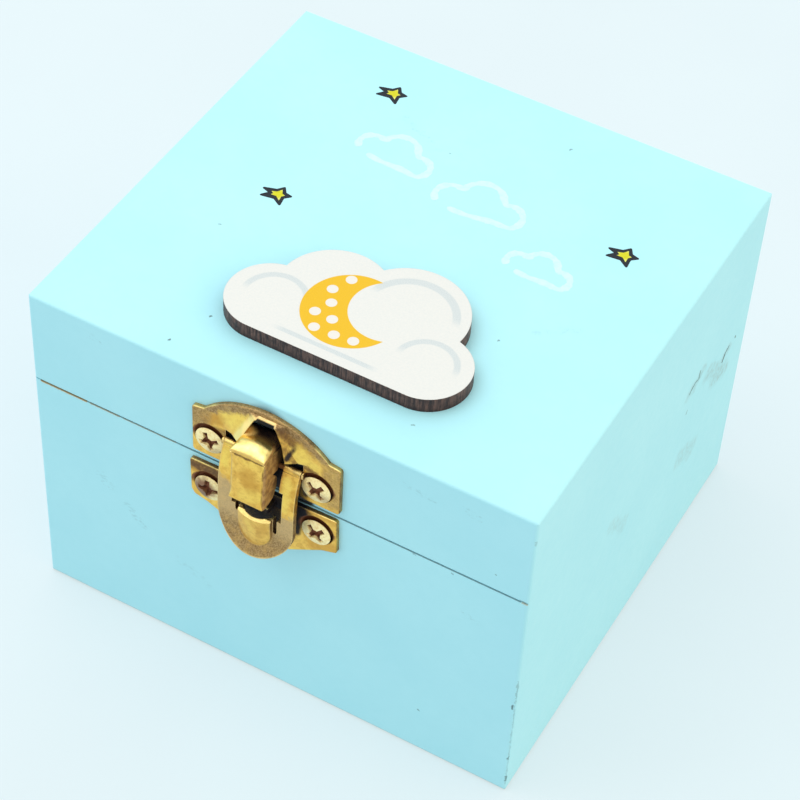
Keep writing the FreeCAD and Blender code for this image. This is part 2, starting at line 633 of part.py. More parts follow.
for name in sorted(nodes):
    shape = nodes[name]
    if not shape.isValid():
        print("NOT VALID", name)
    shape.exportStep("parts/%s.step" % name)
    b = shape.BoundBox
    print("%-22s solids %d  vol %9.2f  x %.2f..%.2f  y %.2f..%.2f  z %.2f..%.2f" % (
        name, len(shape.Solids), shape.Volume, b.XMin, b.XMax, b.YMin, b.YMax, b.ZMin, b.ZMax))
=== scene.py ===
import bpy, bmesh, math, json, random
from mathutils import Vector, Matrix
from mathutils.geometry import tessellate_polygon
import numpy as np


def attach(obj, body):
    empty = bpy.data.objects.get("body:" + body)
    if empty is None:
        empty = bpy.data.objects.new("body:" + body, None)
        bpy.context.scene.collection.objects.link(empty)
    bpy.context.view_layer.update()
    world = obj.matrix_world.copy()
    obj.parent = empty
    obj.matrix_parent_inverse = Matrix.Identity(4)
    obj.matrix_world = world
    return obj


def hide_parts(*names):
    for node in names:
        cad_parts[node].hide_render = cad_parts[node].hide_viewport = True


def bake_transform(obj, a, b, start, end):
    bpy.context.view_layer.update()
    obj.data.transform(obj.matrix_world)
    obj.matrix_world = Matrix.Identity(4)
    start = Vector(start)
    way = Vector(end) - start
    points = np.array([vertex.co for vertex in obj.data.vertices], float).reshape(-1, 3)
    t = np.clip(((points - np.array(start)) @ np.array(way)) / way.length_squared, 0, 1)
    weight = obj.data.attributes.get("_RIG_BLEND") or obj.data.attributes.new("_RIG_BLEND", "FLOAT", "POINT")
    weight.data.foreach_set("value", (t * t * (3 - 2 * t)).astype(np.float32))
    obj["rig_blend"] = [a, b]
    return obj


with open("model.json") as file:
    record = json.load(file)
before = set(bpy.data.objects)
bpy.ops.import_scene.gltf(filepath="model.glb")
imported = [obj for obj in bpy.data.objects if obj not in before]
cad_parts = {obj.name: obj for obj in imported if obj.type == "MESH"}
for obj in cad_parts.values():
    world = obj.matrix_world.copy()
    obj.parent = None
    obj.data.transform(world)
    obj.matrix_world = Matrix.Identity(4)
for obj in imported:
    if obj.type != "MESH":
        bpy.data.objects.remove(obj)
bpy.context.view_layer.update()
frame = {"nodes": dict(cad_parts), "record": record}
N = frame["nodes"]
scene = bpy.context.scene
MM = 0.001
FRONT_Y = -47.0
LX = -1.05

# ------------------------------------------------------------------ camera
# fitted to the box's own edges: long lens, seen from the front right and above
cam_data = bpy.data.cameras.new("camera")
cam_data.sensor_width = 36.0
cam_data.sensor_fit = "HORIZONTAL"
cam_data.lens = 2515.14 * 36.0 / 800.0
cam_data.clip_start = 0.01
cam = bpy.data.objects.new("camera", cam_data)
scene.collection.objects.link(cam)
right = Vector((0.869770, 0.491530, 0.043579))
up = Vector((-0.384497, 0.619713, 0.684191))
back = Vector((0.309294, -0.611845, 0.727999))
cam.matrix_world = Matrix((
    (right.x, up.x, back.x, 0.148023),
    (right.y, up.y, back.y, -0.293280),
    (right.z, up.z, back.z, 0.382639),
    (0, 0, 0, 1),
))
scene.camera = cam
scene.view_settings.view_transform = "Standard"
scene.view_settings.look = "None"


# ------------------------------------------------------------------ node helpers
class Mat:
    """A small helper that builds one node material. Positions are in millimetres."""

    def __init__(self, name):
        self.m = bpy.data.materials.new(name)
        self.m.use_nodes = True
        self.t = self.m.node_tree
        self.bsdf = self.t.nodes["Principled BSDF"]
        self._pos = self._nrm = None

    def n(self, kind, **props):
        node = self.t.nodes.new(kind)
        for k, v in props.items():
            setattr(node, k, v)
        return node

    def link(self, a, b):
        self.t.links.new(a, b)

    def put(self, sock, value):
        if isinstance(value, bpy.types.NodeSocket):
            self.link(value, sock)
        elif hasattr(value, "__len__") and sock.type == "RGBA":
            sock.default_value = (*value[:3], 1.0)
        else:
            sock.default_value = value

    def set(self, name, value):
        self.put(self.bsdf.inputs[name], value)

    def mm(self):
        if self._pos is None:
            tc = self.n("ShaderNodeTexCoord")
            self._nrm = tc.outputs["Normal"]
            self._pos = self.vmath("SCALE", tc.outputs["Object"], scale=1000.0)
        return self._pos

    def normal(self):
        self.mm()
        return self._nrm

    def xyz(self, v):
        s = self.n("ShaderNodeSeparateXYZ")
        self.link(v, s.inputs[0])
        return s.outputs[0], s.outputs[1], s.outputs[2]

    def math(self, op, a, b=None, c=None, clamp=False):
        m = self.n("ShaderNodeMath", operation=op, use_clamp=clamp)
        self.put(m.inputs[0], a)
        if b is not None:
            self.put(m.inputs[1], b)
        if c is not None:
            self.put(m.inputs[2], c)
        return m.outputs[0]

    def mul(self, *v):
        out = v[0]
        for w in v[1:]:
            out = self.math("MULTIPLY", out, w)
        return out

    def top(self, *v):
        out = v[0]
        for w in v[1:]:
            out = self.math("MAXIMUM", out, w)
        return out

    def vmath(self, op, a, b=None, scale=None):
        m = self.n("ShaderNodeVectorMath", operation=op)
        self.put(m.inputs[0], a)
        if b is not None:
            self.put(m.inputs[1], b)
        if scale is not None:
            self.put(m.inputs["Scale"], scale)
        return m.outputs["Value"] if op in ("DISTANCE", "LENGTH", "DOT_PRODUCT") else m.outputs["Vector"]

    def step(self, v, lo, hi, a=0.0, b=1.0):
        if lo > hi:
            lo, hi, a, b = hi, lo, b, a
        r = self.n("ShaderNodeMapRange", interpolation_type="SMOOTHSTEP", clamp=True)
        self.put(r.inputs["Value"], v)
        r.inputs["From Min"].default_value = lo
        r.inputs["From Max"].default_value = hi
        r.inputs["To Min"].default_value = a
        r.inputs["To Max"].default_value = b
        return r.outputs[0]

    def noise(self, scale, detail=4.0, rough=0.55, stretch=None, distort=0.0, vec=None, color=False):
        t = self.n("ShaderNodeTexNoise")
        v = vec if vec is not None else self.mm()
        if stretch:
            v = self.vmath("MULTIPLY", v, stretch)
        self.link(v, t.inputs["Vector"])
        t.inputs["Scale"].default_value = scale
        t.inputs["Detail"].default_value = detail
        t.inputs["Roughness"].default_value = rough
        t.inputs["Distortion"].default_value = distort
        return t.outputs["Color"] if color else t.outputs["Fac"]

    def cells(self, scale, rand=1.0, vec=None, dims="3D"):
        t = self.n("ShaderNodeTexVoronoi", voronoi_dimensions=dims)
        self.link(vec if vec is not None else self.mm(), t.inputs["Vector"])
        t.inputs["Scale"].default_value = scale
        t.inputs["Randomness"].default_value = rand
        return t.outputs["Distance"]

    def wobble(self, scale, amount, vec=None, detail=3.0):
        """The position, shaken by noise."""
        c = self.noise(scale, detail, 0.6, color=True)
        c = self.vmath("SUBTRACT", c, (0.5, 0.5, 0.5))
        c = self.vmath("SCALE", c, scale=amount)
        return self.vmath("ADD", vec if vec is not None else self.mm(), c)

    def mix(self, fac, a, b, mode="MIX"):
        m = self.n("ShaderNodeMix", data_type="RGBA", blend_type=mode)
        self.put(m.inputs[0], fac)
        self.put(m.inputs[6], a)
        self.put(m.inputs[7], b)
        return m.outputs[2]

    def fmix(self, fac, a, b):
        m = self.n("ShaderNodeMix", data_type="FLOAT")
        self.put(m.inputs[0], fac)
        self.put(m.inputs[2], a)
        self.put(m.inputs[3], b)
        return m.outputs[0]

    def ao(self, dist_mm, inside=False, samples=6):
        a = self.n("ShaderNodeAmbientOcclusion", inside=inside, samples=samples)
        a.inputs["Distance"].default_value = dist_mm * MM
        return a.outputs["AO"]

    def seg(self, P, a, b):
        """Distance in mm from P to the straight line between a and b."""
        a, b = Vector(a), Vector(b)
        d = b - a
        pa = self.vmath("SUBTRACT", P, tuple(a))
        if d.length < 1e-6:
            return self.vmath("LENGTH", pa)
        h = self.math("MULTIPLY", self.vmath("DOT_PRODUCT", pa, tuple(d)), 1.0 / d.length_squared, clamp=True)
        return self.vmath("LENGTH", self.vmath("SUBTRACT", pa, self.vmath("SCALE", tuple(d), scale=h)))

    def marks(self, P, rows):
        """The strongest of several soft marks: rows of (strength, radius, a, b)."""
        out = None
        for strength, r, a, b in rows:
            m = self.step(self.seg(P, a, b), r * 0.35, r, strength, 0.0)
            out = m if out is None else self.top(out, m)
        return out

    def bump(self, height, dist_mm, strength=1.0, normal=None):
        b = self.n("ShaderNodeBump")
        b.inputs["Strength"].default_value = strength
        b.inputs["Distance"].default_value = dist_mm * MM
        self.link(height, b.inputs["Height"])
        if normal is not None:
            self.link(normal, b.inputs["Normal"])
        return b.outputs[0]

    def soft_edges(self, radius_mm, samples=4):
        b = self.n("ShaderNodeBevel", samples=samples)
        b.inputs["Radius"].default_value = radius_mm * MM
        return b.outputs[0]


def assign(obj, mat):
    obj.data.materials.clear()
    obj.data.materials.append(mat.m)


# ------------------------------------------------------------------ materials
STRETCH = {"x": (0.055, 1.0, 1.0), "y": (1.0, 0.055, 1.0), "z": (1.0, 1.0, 0.055)}


def wood_color(k, axis, dark, light, seed=0.0):
    """Bare sanded wood: long soft streaks, fine pores and a slow drift of tone."""
    v = k.vmath("ADD", k.mm(), (seed, seed * 0.7, seed * 1.3))
    wide = k.noise(0.16, 4, 0.6, stretch=STRETCH[axis], distort=0.8, vec=v)
    streak = k.noise(0.75, 6, 0.62, stretch=STRETCH[axis], distort=0.3, vec=v)
    pores = k.noise(4.5, 3, 0.6, stretch=STRETCH[axis], vec=v)
    t = k.math("ADD", k.mul(wide, 0.55), k.mul(streak, 0.6))
    col = k.mix(k.step(t, 0.36, 0.78), light, dark)
    col = k.mix(k.step(pores, 0.6, 0.72, 0.0, 0.35), col, tuple(c * 0.55 for c in dark))
    return col, streak, pores


PAINT = (0.392, 0.775, 0.871)


F = FRONT_Y
# a faint darker line down the front-right upright edge, with small dark nicks on it
EDGE = [
    (0.34, 0.26, (49.9, -46.9, 33.0), (49.9, -46.9, 27.0)),
    (0.24, 0.24, (49.9, -46.9, 27.0), (49.9, -46.9, 2.0)),
    (0.80, 0.36, (49.4, -47.0, 25.8), (49.4, -47.0, 25.0)),
    (0.70, 0.30, (49.9, -46.9, 10.6), (49.9, -46.9, 9.9)),
    (0.65, 0.28, (49.8, -46.8, 4.4), (49.8, -46.8, 3.0)),
]
# rubbed and smudged places: strength, radius, from, to
SMUDGES = {
    "front": [
        (0.45, 1.5, (-31.0, F, 30.6), (-27.8, F, 27.0)),
        (0.40, 1.8, (-36.6, F, 35.4), (-34.8, F, 33.6)),
        (0.45, 0.9, (38.8, F, 44.5), (41.2, F, 43.6)),
        (0.25, 1.6, (-20.0, F, 22.0), (-14.0, F, 19.0)),
    ],
    "top": [
        (0.45, 0.8, (-37.4, F, 71.8), (-35.2, F, 71.3)),
        (0.40, 1.0, (25.6, F, 70.3), (31.0, F, 69.2)),
        (0.40, 0.9, (37.0, F, 70.8), (39.6, F, 70.0)),
        (0.30, 1.0, (29.2, -8.6, 75), (35.6, -3.8, 75)),
        (0.25, 1.2, (-17.5, 29.0, 75), (-8.0, 25.0, 75)),
    ],
    "right": [
        (0.60, 2.8, (50, 28.6, 43.6), (50, 33.6, 39.8)),
        (0.75, 3.2, (50, 32.6, 38.6), (50, 37.6, 36.8)),
        (0.60, 2.2, (50, 19.2, 45.8), (50, 24.6, 47.6)),
        (0.65, 1.6, (50, 35.4, 41.4), (50, 38.6, 41.4)),
        (0.45, 3.2, (50, 20.6, 27.4), (50, 26.8, 24.0)),
        (0.35, 2.4, (50, -12.0, 40.0), (50, -6.0, 34.0)),
    ],
}
# hairline cracks, nicks and specks
NICKS = {
    "front": EDGE + [
        (0.50, 0.28, (48.4, F, 54.6), (49.4, F, 54.5)),
        (0.45, 0.30, (43.4, F, 58.3), (43.5, F, 58.2)),
        (0.55, 0.28, (31.2, F, 11.6), (31.4, F, 11.5)),
        (0.45, 0.20, (27.8, F, 53.9), (28.5, F, 53.8)),
        (0.45, 0.20, (35.3, F, 53.5), (35.8, F, 53.4)),
    ],
    "top": [
        (0.22, 0.34, (49.9, -46.9, 70.4), (49.9, -46.9, 69.6)),
        (0.80, 0.34, (-23.2, -43.3, 75), (-23.1, -43.2, 75)),
        (0.80, 0.32, (-20.3, -34.8, 75), (-20.2, -34.7, 75)),
        (0.45, 0.26, (-31.5, -14.2, 75), (-31.3, -14.1, 75)),
        (0.60, 0.28, (12.9, 37.6, 75), (13.1, 37.9, 75)),
        (0.50, 0.26, (14.1, 14.3, 75), (14.3, 14.6, 75)),
        (0.45, 0.26, (-5.8, 24.7, 75), (-5.6, 24.8, 75)),
        (0.60, 0.30, (24.8, -13.6, 75), (25.0, -13.4, 75)),
        (0.50, 0.28, (21.8, -38.6, 75), (22.2, -38.4, 75)),
    ],
    "right": EDGE + [
        (0.80, 0.40, (50, 19.4, 46.0), (50, 21.4, 47.0)),
        (0.60, 0.36, (50, 21.4, 47.0), (50, 23.2, 46.8)),
        (0.70, 0.42, (50, 23.2, 46.8), (50, 23.35, 48.5)),
        (1.00, 0.52, (50, 36.0, 40.1), (50, 36.7, 41.6)),
        (0.85, 0.40, (50, 36.7, 41.6), (50, 38.3, 42.3)),
        (0.75, 0.42, (50, 41.2, 42.5), (50, 41.35, 42.1)),
        (0.45, 0.36, (50, 19.75, 41.0), (50, 19.45, 40.5)),
    ],
}
# painted shade on the wood behind the latch, seen only through its openings: near black where the plates keep it in
# deep shade
LATCH_SHADE = {
    "front": [
        (0.97, 3.2, (-10.0, F, 63.2), (7.0, F, 63.2)),
        (0.97, 5.0, (LX, F, 63.0), (LX, F, 70.0)),
        (0.90, 2.4, (LX - 4.5, F, 52.0), (LX + 5.0, F, 52.0)),
        (0.96, 3.6, (LX - 4.0, F, 56.6), (LX + 4.6, F, 56.6)),
        (0.97, 1.5, (5.2, F, 54.6), (7.2, F, 54.9)),
    ],
    "top": [(0.97, 5.0, (LX, F, 63.0), (LX, F, 70.0))],
}


def painted_wood(name, axis, seed, place):
    """Matte sky-blue paint with handling marks; raw wood inside and on the rims; painted shade behind the latch, in
    the seam and along the foot.
    """
    k = Mat(name)
    P = k.mm()
    x, y, z = k.xyz(P)
    nx, ny, nz = k.xyz(k.normal())
    ax, ay = k.math("ABSOLUTE", x), k.math("ABSOLUTE", y)

    drift = k.noise(0.045, 3, 0.5)
    mottle = k.noise(0.5, 5, 0.6)
    fine = k.noise(3.2, 4, 0.6)
    col = k.mix(k.step(drift, 0.3, 0.7), (0.380, 0.762, 0.862), (0.402, 0.784, 0.878))
    col = k.mix(k.step(mottle, 0.35, 0.75, 0.0, 0.22), col, (0.370, 0.750, 0.845))
    col = k.mix(k.step(fine, 0.62, 0.8, 0.0, 0.16), col, (0.45, 0.82, 0.90))

    dark = None
    if place in SMUDGES:
        if place == "right":
            smudge = k.marks(k.wobble(0.30, 4.0), SMUDGES[place])
            broken = k.step(k.noise(0.9, 5, 0.65), 0.36, 0.66, 0.25, 1.0)
            col = k.mix(k.mul(smudge, broken), col, (0.290, 0.500, 0.530))
            dark = k.marks(k.wobble(0.55, 0.8, detail=2.0), NICKS[place])
            col = k.mix(dark, col, (0.030, 0.085, 0.095))
        else:
            smudge = k.marks(k.wobble(0.55, 2.6), SMUDGES[place])
            broken = k.step(k.noise(1.1, 5, 0.65, stretch=(1.0, 1.0, 1.8)), 0.47, 0.66)
            col = k.mix(k.mul(smudge, broken), col, (0.245, 0.52, 0.60))
            dark = k.marks(k.wobble(1.6, 0.9), NICKS[place])
            # painted shade: the wood behind the latch's openings darkened to near black
            latch_shade = k.marks(k.vmath("ADD", k.vmath("MULTIPLY", P, (1.0, 0.0, 1.0)), (0.0, F, 0.0)), LATCH_SHADE[place])
            col = k.mix(k.mul(latch_shade, k.step(y, 0.0, -20.0)), col, (0.007, 0.007, 0.015))
            col = k.mix(dark, col, (0.050, 0.085, 0.085))

    # painted shade: a fine dark line along the foot where the box meets the table, in place of the contact shadow
    if place != "top":
        foot = k.mul(k.step(z, 0.80, 0.25), k.step(k.noise(0.6, 4, 0.6), 0.25, 0.6, 0.45, 0.85))
        col = k.mix(foot, col, (0.16, 0.21, 0.21))

    # raw wood: inside of the box and lid, rims at the seam, underside
    S = k.wobble(1.3, 0.7)
    sx, sy, sz = k.xyz(S)
    wood, streak, pores = wood_color(k, axis, (0.34, 0.185, 0.075), (0.62, 0.42, 0.215), seed)
    inner = k.mul(k.step(ax, 44.3, 44.05), k.step(ay, 41.3, 41.05), k.step(z, 69.3, 69.05))
    covered = k.top(k.step(k.math("ABSOLUTE", sx), 47.0, 47.5), k.step(k.math("ABSOLUTE", sy), 44.0, 44.5))
    bare = k.math("SUBTRACT", 1.0, covered)
    rim_up = k.mul(k.step(nz, 0.6, 0.8), k.step(z, 58, 57), bare)
    rim_dn = k.mul(k.step(nz, -0.6, -0.8), k.top(bare, k.step(z, 40, 38)))
    raw = k.top(inner, rim_up, rim_dn)
    # painted shade: the bare rims darker where the closed seam keeps them in shade
    rim = k.mul(k.top(rim_up, k.mul(rim_dn, k.step(z, 40, 42))), k.step(ay, 41.0, 41.3))
    wood = k.mix(k.mul(rim, 0.8), wood, (0.10, 0.055, 0.025))
    col = k.mix(raw, col, wood)

    # paint rubbed through along the left part of the seam
    if place == "front":
        line = k.marks(k.wobble(2.2, 0.35), [
            (0.9, 0.40, (-48.5, F, 54.20), (-39.0, F, 54.20)),
            (0.6, 0.34, (-38.0, F, 54.20), (-32.0, F, 54.20)),
            (0.40, 0.28, (-31.0, F, 54.20), (-20.0, F, 54.20)),
            (0.55, 0.36, (48.9, F, 54.20), (49.7, F, 54.20)),
        ])
        col = k.mix(line, col, (0.52, 0.36, 0.13))
        # painted shade: the rim face seen through the seam gap, and a thin line along the seam, darkened to near black
        slot = k.mul(k.step(k.math("ABSOLUTE", nz), 0.6, 0.8), k.step(z, 58, 57), k.step(z, 40, 42), k.step(y, -47.3, -47.55),
                     k.step(ax, 14, 32, 0.55, 0.90))
        seam_shade_line = k.marks(k.wobble(2.2, 0.15), [
            (0.62, 0.21, (-19.0, F, 54.22), (48.4, F, 54.22)),
            (0.55, 0.19, (-48.6, F, 54.24), (-19.0, F, 54.24)),
        ])
        col = k.mix(k.top(slot, seam_shade_line), col, (0.018, 0.026, 0.024))
    k.set("Base Color", col)

    k.set("Roughness", k.fmix(raw, k.step(mottle, 0.2, 0.8, 0.46, 0.60), 0.72))
    k.set("Specular IOR Level", 0.35)
    h = k.math("ADD", k.mul(k.noise(1.9, 3, 0.5), 0.5), k.mul(k.noise(0.28, 2, 0.5), 1.2))
    if dark is not None:
        h = k.math("SUBTRACT", h, k.mul(dark, 0.8))
    h = k.math("ADD", h, k.mul(raw, streak, 0.6))
    k.set("Normal", k.bump(h, 0.05, 0.5))
    return k


def on_latch(x, z, d):
    """A point that lies behind (x, z) of the front face's picture, d mm out from the wood."""
    return (x + 0.603 * (d - 0.5), FRONT_Y - d, z + 1.298 * (d - 0.5))


def brass():
    """Aged brass: warm gold, brown in the hollows, worn grey-brown on the hasp's end; painted shade and painted
    highlights laid into the colour.
    """
    k = Mat("aged_brass")
    P = k.mm()
    x, y, z = k.xyz(P)
    nx, ny, nz = k.xyz(k.normal())
    d = k.math("SUBTRACT", FRONT_Y, y)
    wide = k.ao(6.5, samples=8)
    edge = k.ao(0.30, inside=True)
    blotch = k.noise(0.42, 6, 0.62, distort=0.6)
    cloudy = k.noise(0.95, 5, 0.6)
    fine = k.noise(5.0, 5, 0.65)
    A = on_latch

    col = k.mix(k.step(blotch, 0.32, 0.70), (1.0, 0.635, 0.135), (0.84, 0.475, 0.088))
    col = k.mix(k.step(cloudy, 0.46, 0.74, 0.0, 0.55), col, (0.56, 0.275, 0.052))
    warm = k.marks(k.wobble(0.6, 2.4), [
        (0.60, 2.6, A(-4.8, 54.6, 6.6), A(-4.2, 52.6, 6.6)),
        (0.70, 2.2, A(-10.8, 66.0, 1.2), A(-13.0, 64.6, 0.9)),
        (0.65, 1.8, A(3.0, 70.6, 1.2), A(7.6, 68.4, 1.0)),
        (0.70, 2.0, A(-15.0, 50.6, 0.9), A(-11.5, 50.4, 0.9)),
        (0.45, 1.6, A(8.0, 53.4, 0.9), A(12.4, 53.0, 0.9)),
        (0.65, 1.5, A(-9.0, 70.0, 1.2), A(-3.8, 71.6, 1.2)),
        (0.60, 1.2, A(-8.6, 60.4, 2.5), A(-8.8, 58.0, 2.9)),
        (0.55, 1.0, A(4.6, 58.6, 2.3), A(4.4, 52.0, 3.4)),
        (0.60, 2.2, A(9.0, 45.2, 0.9), A(12.4, 46.0, 0.9)),
        (0.50, 1.6, A(-2.6, 40.6, 5.4), A(-1.6, 42.6, 5.4)),
    ])
    col = k.mix(warm, col, (0.60, 0.285, 0.045))
    # painted highlights: bright yellow patches on the hood's dome, the arms and the bill
    highlight_patch = k.marks(k.wobble(0.7, 1.8), [
        (0.95, 3.4, A(-8.6, 66.6, 1.7), A(-6.2, 69.0, 1.7)),
        (0.75, 2.3, A(6.2, 65.0, 1.6), A(5.0, 66.8, 1.7)),
        (0.70, 1.5, A(4.6, 63.8, 1.6), A(8.2, 64.8, 1.2)),
        (0.90, 1.4, A(-9.2, 61.0, 2.2), A(-9.5, 55.5, 3.3)),
        (0.80, 1.5, A(3.0, 57.5, 3.0), A(2.4, 51.0, 3.5)),
        (0.55, 2.2, A(-5.4, 49.6, 6.7), A(-3.2, 50.6, 6.7)),
        (0.45, 1.6, A(-5.6, 58.6, 6.5), A(-3.0, 58.2, 6.5)),
        (0.55, 1.4, A(-4.8, 43.0, 5.4), A(-4.6, 41.0, 5.6)),
    ])
    highlight_patch = k.mul(highlight_patch, k.step(cloudy, 0.30, 0.62, 1.0, 0.62))
    col = k.mix(highlight_patch, col, (1.0, 0.720, 0.150))
    col = k.mix(k.step(fine, 0.50, 0.78, 0.0, 0.30), col, (0.36, 0.175, 0.040))

    # dull grey-brown wear on the plates' outer ends, the crown's rim and the hasp's round end
    speck = k.mix(k.step(k.noise(3.6, 6, 0.75), 0.38, 0.64), (0.185, 0.110, 0.042), (0.50, 0.345, 0.160))
    speck = k.mix(k.step(k.noise(0.8, 5, 0.6), 0.44, 0.68, 0.0, 0.5), speck, (0.60, 0.39, 0.13))
    speck = k.mix(k.mul(k.step(z, 45.0, 49.5), k.step(d, 2.3, 2.9), 0.55), speck, (0.74, 0.54, 0.26))
    low_z = k.math("ADD", z, k.mul(k.math("SUBTRACT", blotch, 0.5), 5.0))
    low_z = k.math("SUBTRACT", low_z, k.step(x, -4.0, -7.5, 0.0, 3.4))
    hasp_low = k.mul(k.step(d, 2.3, 2.9), k.step(low_z, 53.6, 52.0))
    ux = k.math("SUBTRACT", x, LX)
    uz = k.math("MINIMUM", k.math("SUBTRACT", z, 46.7), 0.0)
    ur = k.math("SQRT", k.math("ADD", k.mul(ux, ux), k.mul(uz, uz)))
    boss = k.mul(k.step(ur, 3.6, 2.9), k.step(d, 3.9, 4.2), k.step(z, 52.0, 51.6))
    bill = k.mul(k.step(k.math("ABSOLUTE", k.math("ADD", ux, 0.36)), 3.75, 3.55), k.step(z, 54.6, 55.2))
    hasp_low = k.mul(hasp_low, k.step(k.top(boss, bill), 0.0, 1.0, 1.0, 0.12))
    left_end = k.mul(k.step(k.math("ADD", x, k.mul(blotch, 6.0)), -7.6, -11.0), k.step(z, 60, 64), 0.8)
    right_end = k.mul(k.step(k.math("ADD", x, k.mul(blotch, 6.0)), 12.0, 15.0), k.step(z, 56, 58), 0.62)
    crown = k.vmath("LENGTH", k.vmath("MULTIPLY", k.vmath("SUBTRACT", P, (LX, 0.0, 56.2)), (1.0, 0.0, 1.0)))
    crown = k.mul(k.step(k.math("ADD", crown, k.mul(cloudy, 2.6)), 15.7, 17.2), k.step(z, 66.0, 68.0), 0.98)
    ends = k.mul(k.top(left_end, right_end, crown), k.step(d, 2.4, 1.9))
    dull = k.math("MINIMUM", k.top(hasp_low, ends), 0.94)
    col = k.mix(dull, col, speck)

    # brown in hollows and round the screws, partly tarnish and partly painted shade; painted shade on faces turned to
    # the right or down
    # tarnish in the upper crescent of each countersink, partly a painted shade where the rim shades it
    ring, Wb = None, k.wobble(1.5, 0.5)
    for sx, sz in ((-12.3, 60.1), (9.15, 60.0), (-12.6, 47.5), (9.4, 49.0)):
        r = k.vmath("LENGTH", k.vmath("MULTIPLY", k.vmath("SUBTRACT", Wb, (sx, 0, sz)), (1.0, 0.0, 1.0)))
        m = k.mul(k.step(r, 3.95, 3.5), k.step(z, sz - 0.6, sz + 1.2))
        ring = m if ring is None else k.top(ring, m)
    ring = k.mul(ring, k.step(d, 1.4, 1.1), 0.95)
    # brown stain marks: partly tarnish, partly painted shade under the hood's ledge, at the arms' tops and beside the
    # right arm
    stain = k.marks(k.wobble(0.9, 1.6), [
        (0.95, 2.5, (-15.8, -48, 52.6), (-8.5, -48, 51.8)),
        (0.75, 1.4, (4.5, -48, 57.2), (6.0, -48, 64.0)),
        (0.70, 1.5, (-10.8, -48, 63.2), (-7.5, -49, 64.0)),
        (0.75, 1.4, (6.2, -48, 51.8), (7.8, -48, 52.6)),
        (0.75, 1.0, (5.0, -48.5, 64.6), (9.0, -48, 63.8)),
        (0.95, 1.2, (-9.3, -48.2, 62.2), (-9.1, -48.2, 62.2)),
        (0.95, 1.2, (6.6, -48.2, 62.2), (6.8, -48.2, 62.2)),
    ])
    stain = k.mul(stain, k.step(d, 2.4, 1.5))
    # painted shade: brown on the right slope of the opening's lip
    right_lip_shade = k.marks(k.wobble(0.9, 1.0), [
        (0.95, 1.3, A(1.5, 69.8, 2.0), A(2.6, 68.8, 2.0)),
        (0.75, 0.8, A(0.4, 70.6, 1.9), A(1.6, 70.2, 1.9)),
        (0.90, 1.7, A(2.0, 69.4, 1.9), A(3.6, 67.4, 1.9)),
        (0.60, 0.7, A(-3.4, 70.6, 1.8), A(0.6, 70.8, 1.8)),
    ])
    # painted reflection: a dark band along the bill's brow, where the crease mirrors the dark horizon
    nose = k.marks(k.wobble(1.1, 0.7), [(0.80, 0.50, (LX - 2.6, -53.1, 66.72), (LX + 2.4, -53.1, 66.72))])
    # painted shade: faces turned to the right and faces turned down made browner
    turned = k.mul(k.step(nx, 0.30, 0.60), k.step(k.noise(1.0, 5, 0.6, stretch=(1.0, 1.0, 0.45)), 0.34, 0.64, 0.20, 0.85), k.step(y, 0, -1))
    underside_shade = k.mul(k.step(nz, -0.3, -0.8), 0.85)
    hollow = k.step(wide, 0.60, 0.34)
    brown = k.top(ring, stain, right_lip_shade, nose, turned, underside_shade, hollow)
    brown = k.mul(brown, k.step(k.noise(1.6, 4, 0.6), 0.2, 0.6, 0.70, 1.0))
    col = k.mix(brown, col, (0.115, 0.050, 0.017))
    # painted shade: near black in the gaps beside the right arm, in the window round the bill, under the hood's right
    # edge and in deep hollows
    gap_shade = k.marks(k.wobble(1.2, 0.5), [
        (1.00, 1.70, A(6.0, 55.0, 0.9), A(6.2, 51.6, 0.9)),
        (0.95, 1.15, A(5.5, 50.8, 0.9), A(5.1, 46.2, 0.9)),
        (0.90, 0.95, A(6.3, 61.2, 0.9), A(6.7, 57.0, 0.9)),
    ])
    gap_shade = k.mul(gap_shade, k.step(d, 1.6, 1.2))
    middle = k.step(k.math("ABSOLUTE", ux), 4.6, 4.2)
    above = k.mul(k.step(z, 62.6, 62.0), k.step(z, 54.9, 55.3), k.step(d, 1.6, 1.3))
    below = k.mul(k.step(z, 55.2, 54.8), k.step(z, 50.2, 50.8), k.step(d, 3.68, 3.56))
    gap_shade = k.top(gap_shade, k.mul(middle, k.top(above, below), 0.97))
    notch_shade = k.marks(k.wobble(1.2, 0.4), [(0.96, 0.75, A(4.3, 66.7, 1.7), A(2.9, 63.9, 2.0))])
    deep_shade = k.mul(k.step(wide, 0.44, 0.26), k.step(ring, 0.3, 0.8, 1.0, 0.2), k.step(nx, 0.5, 0.75, 1.0, 0.35))
    col = k.mix(k.top(deep_shade, gap_shade, notch_shade), col, (0.006, 0.005, 0.012))
    col = k.mix(ring, col, (0.22, 0.070, 0.026))
    # painted shade and highlight: the bill's right flank painted brown gold and the left of its neck bright gold, over
    # the painted deep shade
    painted_side_light = k.mul(bill, k.step(nx, 0.55, 0.85), k.step(d, 1.4, 2.2))
    cheek_highlight = k.marks(k.wobble(1.0, 0.6), [(0.95, 1.9, A(-5.2, 66.2, 1.6), A(-3.7, 68.4, 1.3))])
    cheek_highlight = k.mul(cheek_highlight, bill, k.step(z, 66.4, 66.9), k.step(d, 3.4, 2.9))
    col = k.mix(k.mul(painted_side_light, 0.92), col, k.mix(k.step(cloudy, 0.36, 0.66), (0.500, 0.285, 0.085), (0.250, 0.115, 0.032)))
    col = k.mix(cheek_highlight, col, (1.0, 0.70, 0.22))
    painted_side_light = k.mul(k.top(painted_side_light, cheek_highlight), 0.90)

